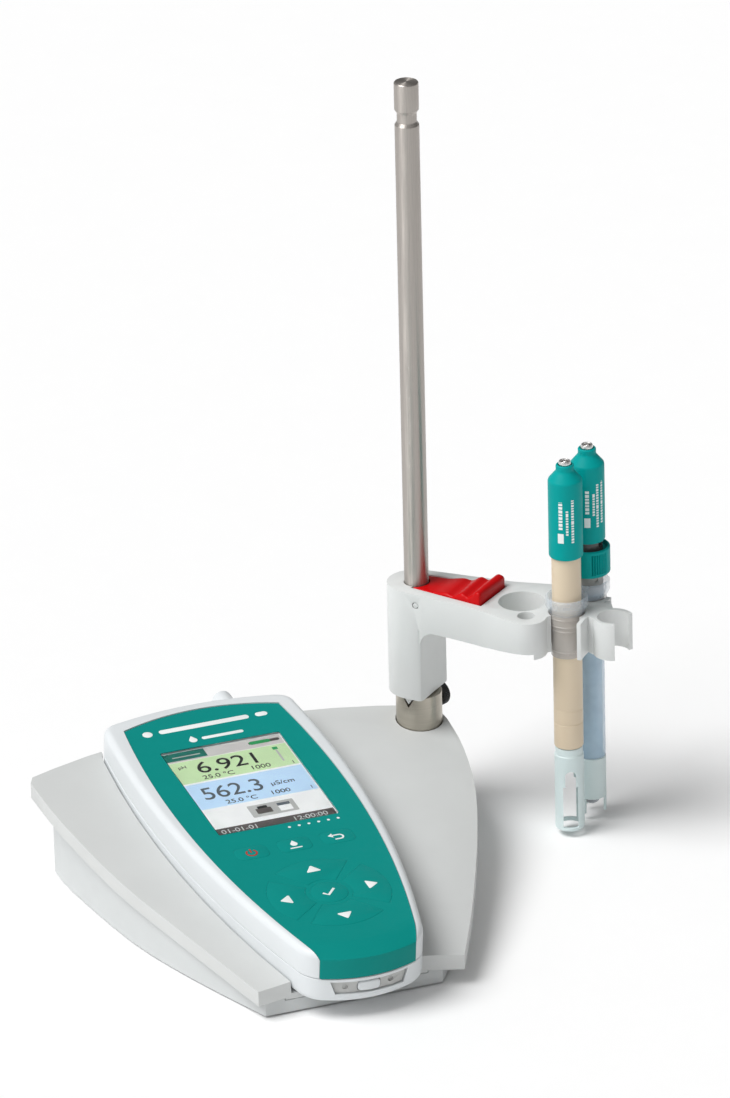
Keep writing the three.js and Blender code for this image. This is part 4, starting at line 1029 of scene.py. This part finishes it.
def make_cell():
    make_sleeve("sleeve_cell", CELL)
    make_head("cell", CELL)
    shaft = [(0, 39.6), (5.7, 39.6), (6, 40.0), (6, 50.2), (5.78, 50.4), (6, 50.6), (6, 56.4),
             (5.88, 56.5), (6, 56.6), (6, 130.6), (0, 130.6)]
    lathe("cell_shaft", shaft, CELL, BEIGE, 88, 0.12)
    wall = [(4.9, 2.8), (5.7, 2.8), (6, 3.2), (6, 35.8), (5.65, 36.2), (5.65, 39.3), (4.9, 39.3), (4.9, 2.8)]
    guard = lathe("cell_guard", wall, CELL, GUARD, 88, 0.15)
    cutters = []
    for turn in (32, 212):
        spun = CELL @ Matrix.Rotation(math.radians(turn), 4, "Z")
        slot = [(2.2, 20)] + arc(0, 27.5, 2.2, 0, 180, 24) + [(-2.2, 20)]
        window = rounded_rect(0, 13.4, 3.1, 9.1, 0.4, 4)
        for outline in (slot, window):
            cutters.append(standing(outline, -10, 0, spun))
    combine(guard, cutters)
    soften(guard, 0.12, 2, 45)
    core = [(0, 31), (3.6, 31), (4.5, 31.9), (4.5, 39.2), (0, 39.2)]
    lathe("cell_core", core, CELL, GUARD, 64, 0.12)


def make_ph():
    make_sleeve("sleeve_ph", PH)
    make_head("ph", PH)

    def grooves(angle, radius, height):
        """Three groups of grip grooves round the ring."""
        if radius < 8.4 or not 111.3 < height < 119.9:
            return radius
        turned = (math.degrees(angle) + 32 + 60) % 120 - 60
        return radius - 0.75 * math.cos(math.pi * turned / 7) ** 4 if abs(turned) < 24.5 else radius

    ring = [(6.2, 109.6), (8.3, 109.6), (8.9, 110.2), (8.9, 111.0), (8.9, 111.6), (8.9, 119.6),
            (8.9, 120.2), (8.9, 120.9), (8.4, 121.4), (7.9, 121.4), (7.9, 119.2),
            (6.2, 119.2), (6.2, 109.6)]
    lathe("ph_filler_ring", ring, PH, TEAL_PART, 360, 0.2, grooves, 50)
    neck = [(3.6, 101.8), (5.6, 101.8), (5.9, 102.2), (5.9, 130.7), (3.6, 130.7), (3.6, 101.8)]
    body = lathe("ph_filler_neck", neck, PH, NECK, 88, 0.15)
    holes = []
    for turn, z, radius, depth in ((-32, 107.6, 0.9, -5.4), (-6, 122.8, 1.3, -3)):
        spun = PH @ Matrix.Rotation(math.radians(turn + 90), 4, "Z")
        holes.append(standing(circle(0, z, radius, 24), -8, depth, spun))
    combine(body, holes)
    lathe("ph_shaft", tube_profile(4.9, 6, 27.7, 101.5), PH, GLASS, 88, 0.2)
    lathe("ph_inner_tube", tube_profile(2.2, 3, 38, 129.7), PH, GLASS, 56, 0.1)
    plug = [(0, 27.7), (4.6, 27.7), (4.6, 37.2), (3.4, 37.7), (0, 37.7)]
    lathe("ph_diaphragm", plug, PH, DIAPHRAGM, 64, 0.2)
    refined("ph_guard", GUARD, 0.2, 2)
    bulb = [(0, 5.4), (1.2, 5.55), (2.5, 6.3), (3.4, 7.6), (3.7, 9.2), (3.4, 10.7), (2.5, 12.1),
            (1.9, 13.4), (1.9, 25.6), (2.4, 26.2), (4, 26.5), (4, 27.3), (0, 27.3)]
    lathe("ph_bulb", bulb, PH, BULB_GLASS, 64, 0.6)


def make_electrodes():
    make_cell()
    make_ph()
    # columns of dashes: turn from the camera's side, lowest and highest point, width in degrees, lengths
    toward_viewer = -90 - 21 - ARM_DEGREES
    words = (1.0, 1.3, 0.9, 1.2, 0.8, 1.3, 1.1, 0.9, 1.2, 1.0, 0.8, 1.2, 1.0, 0.9)
    small = (0.7, 0.9, 0.6, 0.8, 0.9, 0.6, 0.7, 1.6, 0.6, 0.9, 0.7, 0.8, 0.6, 0.9, 0.7, 0.8)
    cell_rows = [(-18, 132.2, 136.4, 20, (4.2,)), (-18, 138.2, 150.2, 13, words), (4, 135.7, 146.6, 8, small),
                 (23, 132.2, 151.0, 9, small)]
    ph_rows = [(-3, 131.8, 136.0, 20, (4.2,)), (-3, 137.8, 148.3, 13, words), (19, 136.9, 146.5, 8, small),
               (33, 131.6, 150.5, 9, small), (52, 133.0, 151.4, 9, small)]
    head_marks("cell", CELL, toward_viewer, cell_rows)
    head_marks("ph", PH, toward_viewer, ph_rows)


# ---------------- stage
FLOOR_REACH = 6000.0
ROOM_LEVEL = 0.38
ROOM_SLANT = (-0.266, -0.080, 0)
KEY_ENERGY, KEY_SPREAD = 2.45, math.radians(38)
KEY_DIRECTION = (1.25, 0.02, -1.85)

# the camera: degrees round from the front, down and rolled, pixels to the millimetre, and how far the middle
# of the picture lies to the right of the design's origin and above it
VIEW_TURN, VIEW_DROP, VIEW_ROLL = 21.1, 24.3, 1.32
PIXELS_PER_MM, PICTURE_HEIGHT = 2.52, 1098
VIEW_RIGHT, VIEW_UP = 4.17, 179.4
CAMERA_DISTANCE, SENSOR = 4700.0, 36.0


def make_floor():
    corners = [(sx * FLOOR_REACH, sy * FLOOR_REACH, 0) for sx, sy in ((-1, -1), (1, -1), (1, 1), (-1, 1))]
    floor = build("floor", corners, [(0, 1, 2, 3)], Matrix.Scale(MM, 4), FLOOR)


def make_light():
    """Soft light from all round, lighter to the left and in front than to the right and behind, and a
    wide key light from the left."""
    world = bpy.data.worlds.new("studio")
    world.use_nodes = True
    tree = world.node_tree
    background = tree.nodes["Background"]
    background.inputs["Color"].default_value = (1, 1, 1, 1)
    direction = tree.nodes.new("ShaderNodeTexCoord")
    slant = tree.nodes.new("ShaderNodeVectorMath")
    slant.operation = "DOT_PRODUCT"
    slant.inputs[1].default_value = ROOM_SLANT
    level = tree.nodes.new("ShaderNodeMath")
    level.operation = "ADD"
    level.inputs[1].default_value = ROOM_LEVEL
    tree.links.new(direction.outputs["Generated"], slant.inputs[0])
    tree.links.new(slant.outputs["Value"], level.inputs[0])
    tree.links.new(level.outputs["Value"], background.inputs["Strength"])
    bpy.context.scene.world = world

    data = bpy.data.lights.new("key", "SUN")
    data.energy = KEY_ENERGY
    data.angle = KEY_SPREAD
    key = linked("key", data)
    key.rotation_euler = Vector(KEY_DIRECTION).to_track_quat("-Z", "Y").to_euler()


def make_camera():
    turn, drop, roll = math.radians(VIEW_TURN), math.radians(VIEW_DROP), math.radians(VIEW_ROLL)
    ahead = Vector((math.sin(turn) * math.cos(drop), math.cos(turn) * math.cos(drop), -math.sin(drop)))
    side = Vector((math.cos(turn), -math.sin(turn), 0))
    upward = side.cross(ahead)
    right = side * math.cos(roll) - upward * math.sin(roll)
    up = side * math.sin(roll) + upward * math.cos(roll)
    place = ORIGIN / MM - ahead * CAMERA_DISTANCE + right * VIEW_RIGHT + up * VIEW_UP
    data = bpy.data.cameras.new("camera")
    data.sensor_width = SENSOR
    data.lens = PIXELS_PER_MM * CAMERA_DISTANCE * SENSOR / PICTURE_HEIGHT
    data.clip_start, data.clip_end = 0.1, 50
    matrix = Matrix((right, up, -ahead)).transposed().to_4x4()
    matrix.translation = place * MM
    camera = linked("camera", data)
    camera.matrix_world = matrix
    bpy.context.scene.camera = camera


make_camera()
make_base()
make_stand()
make_holder()
make_electrodes()
make_lower_case()
make_upper_case()
make_front_panel()
make_keys()
make_key_marks()
make_display()
make_panel_marks()
make_end()
make_sockets()
make_inner_parts()
make_floor()
make_light()
bpy.context.scene.view_settings.view_transform = "Standard"
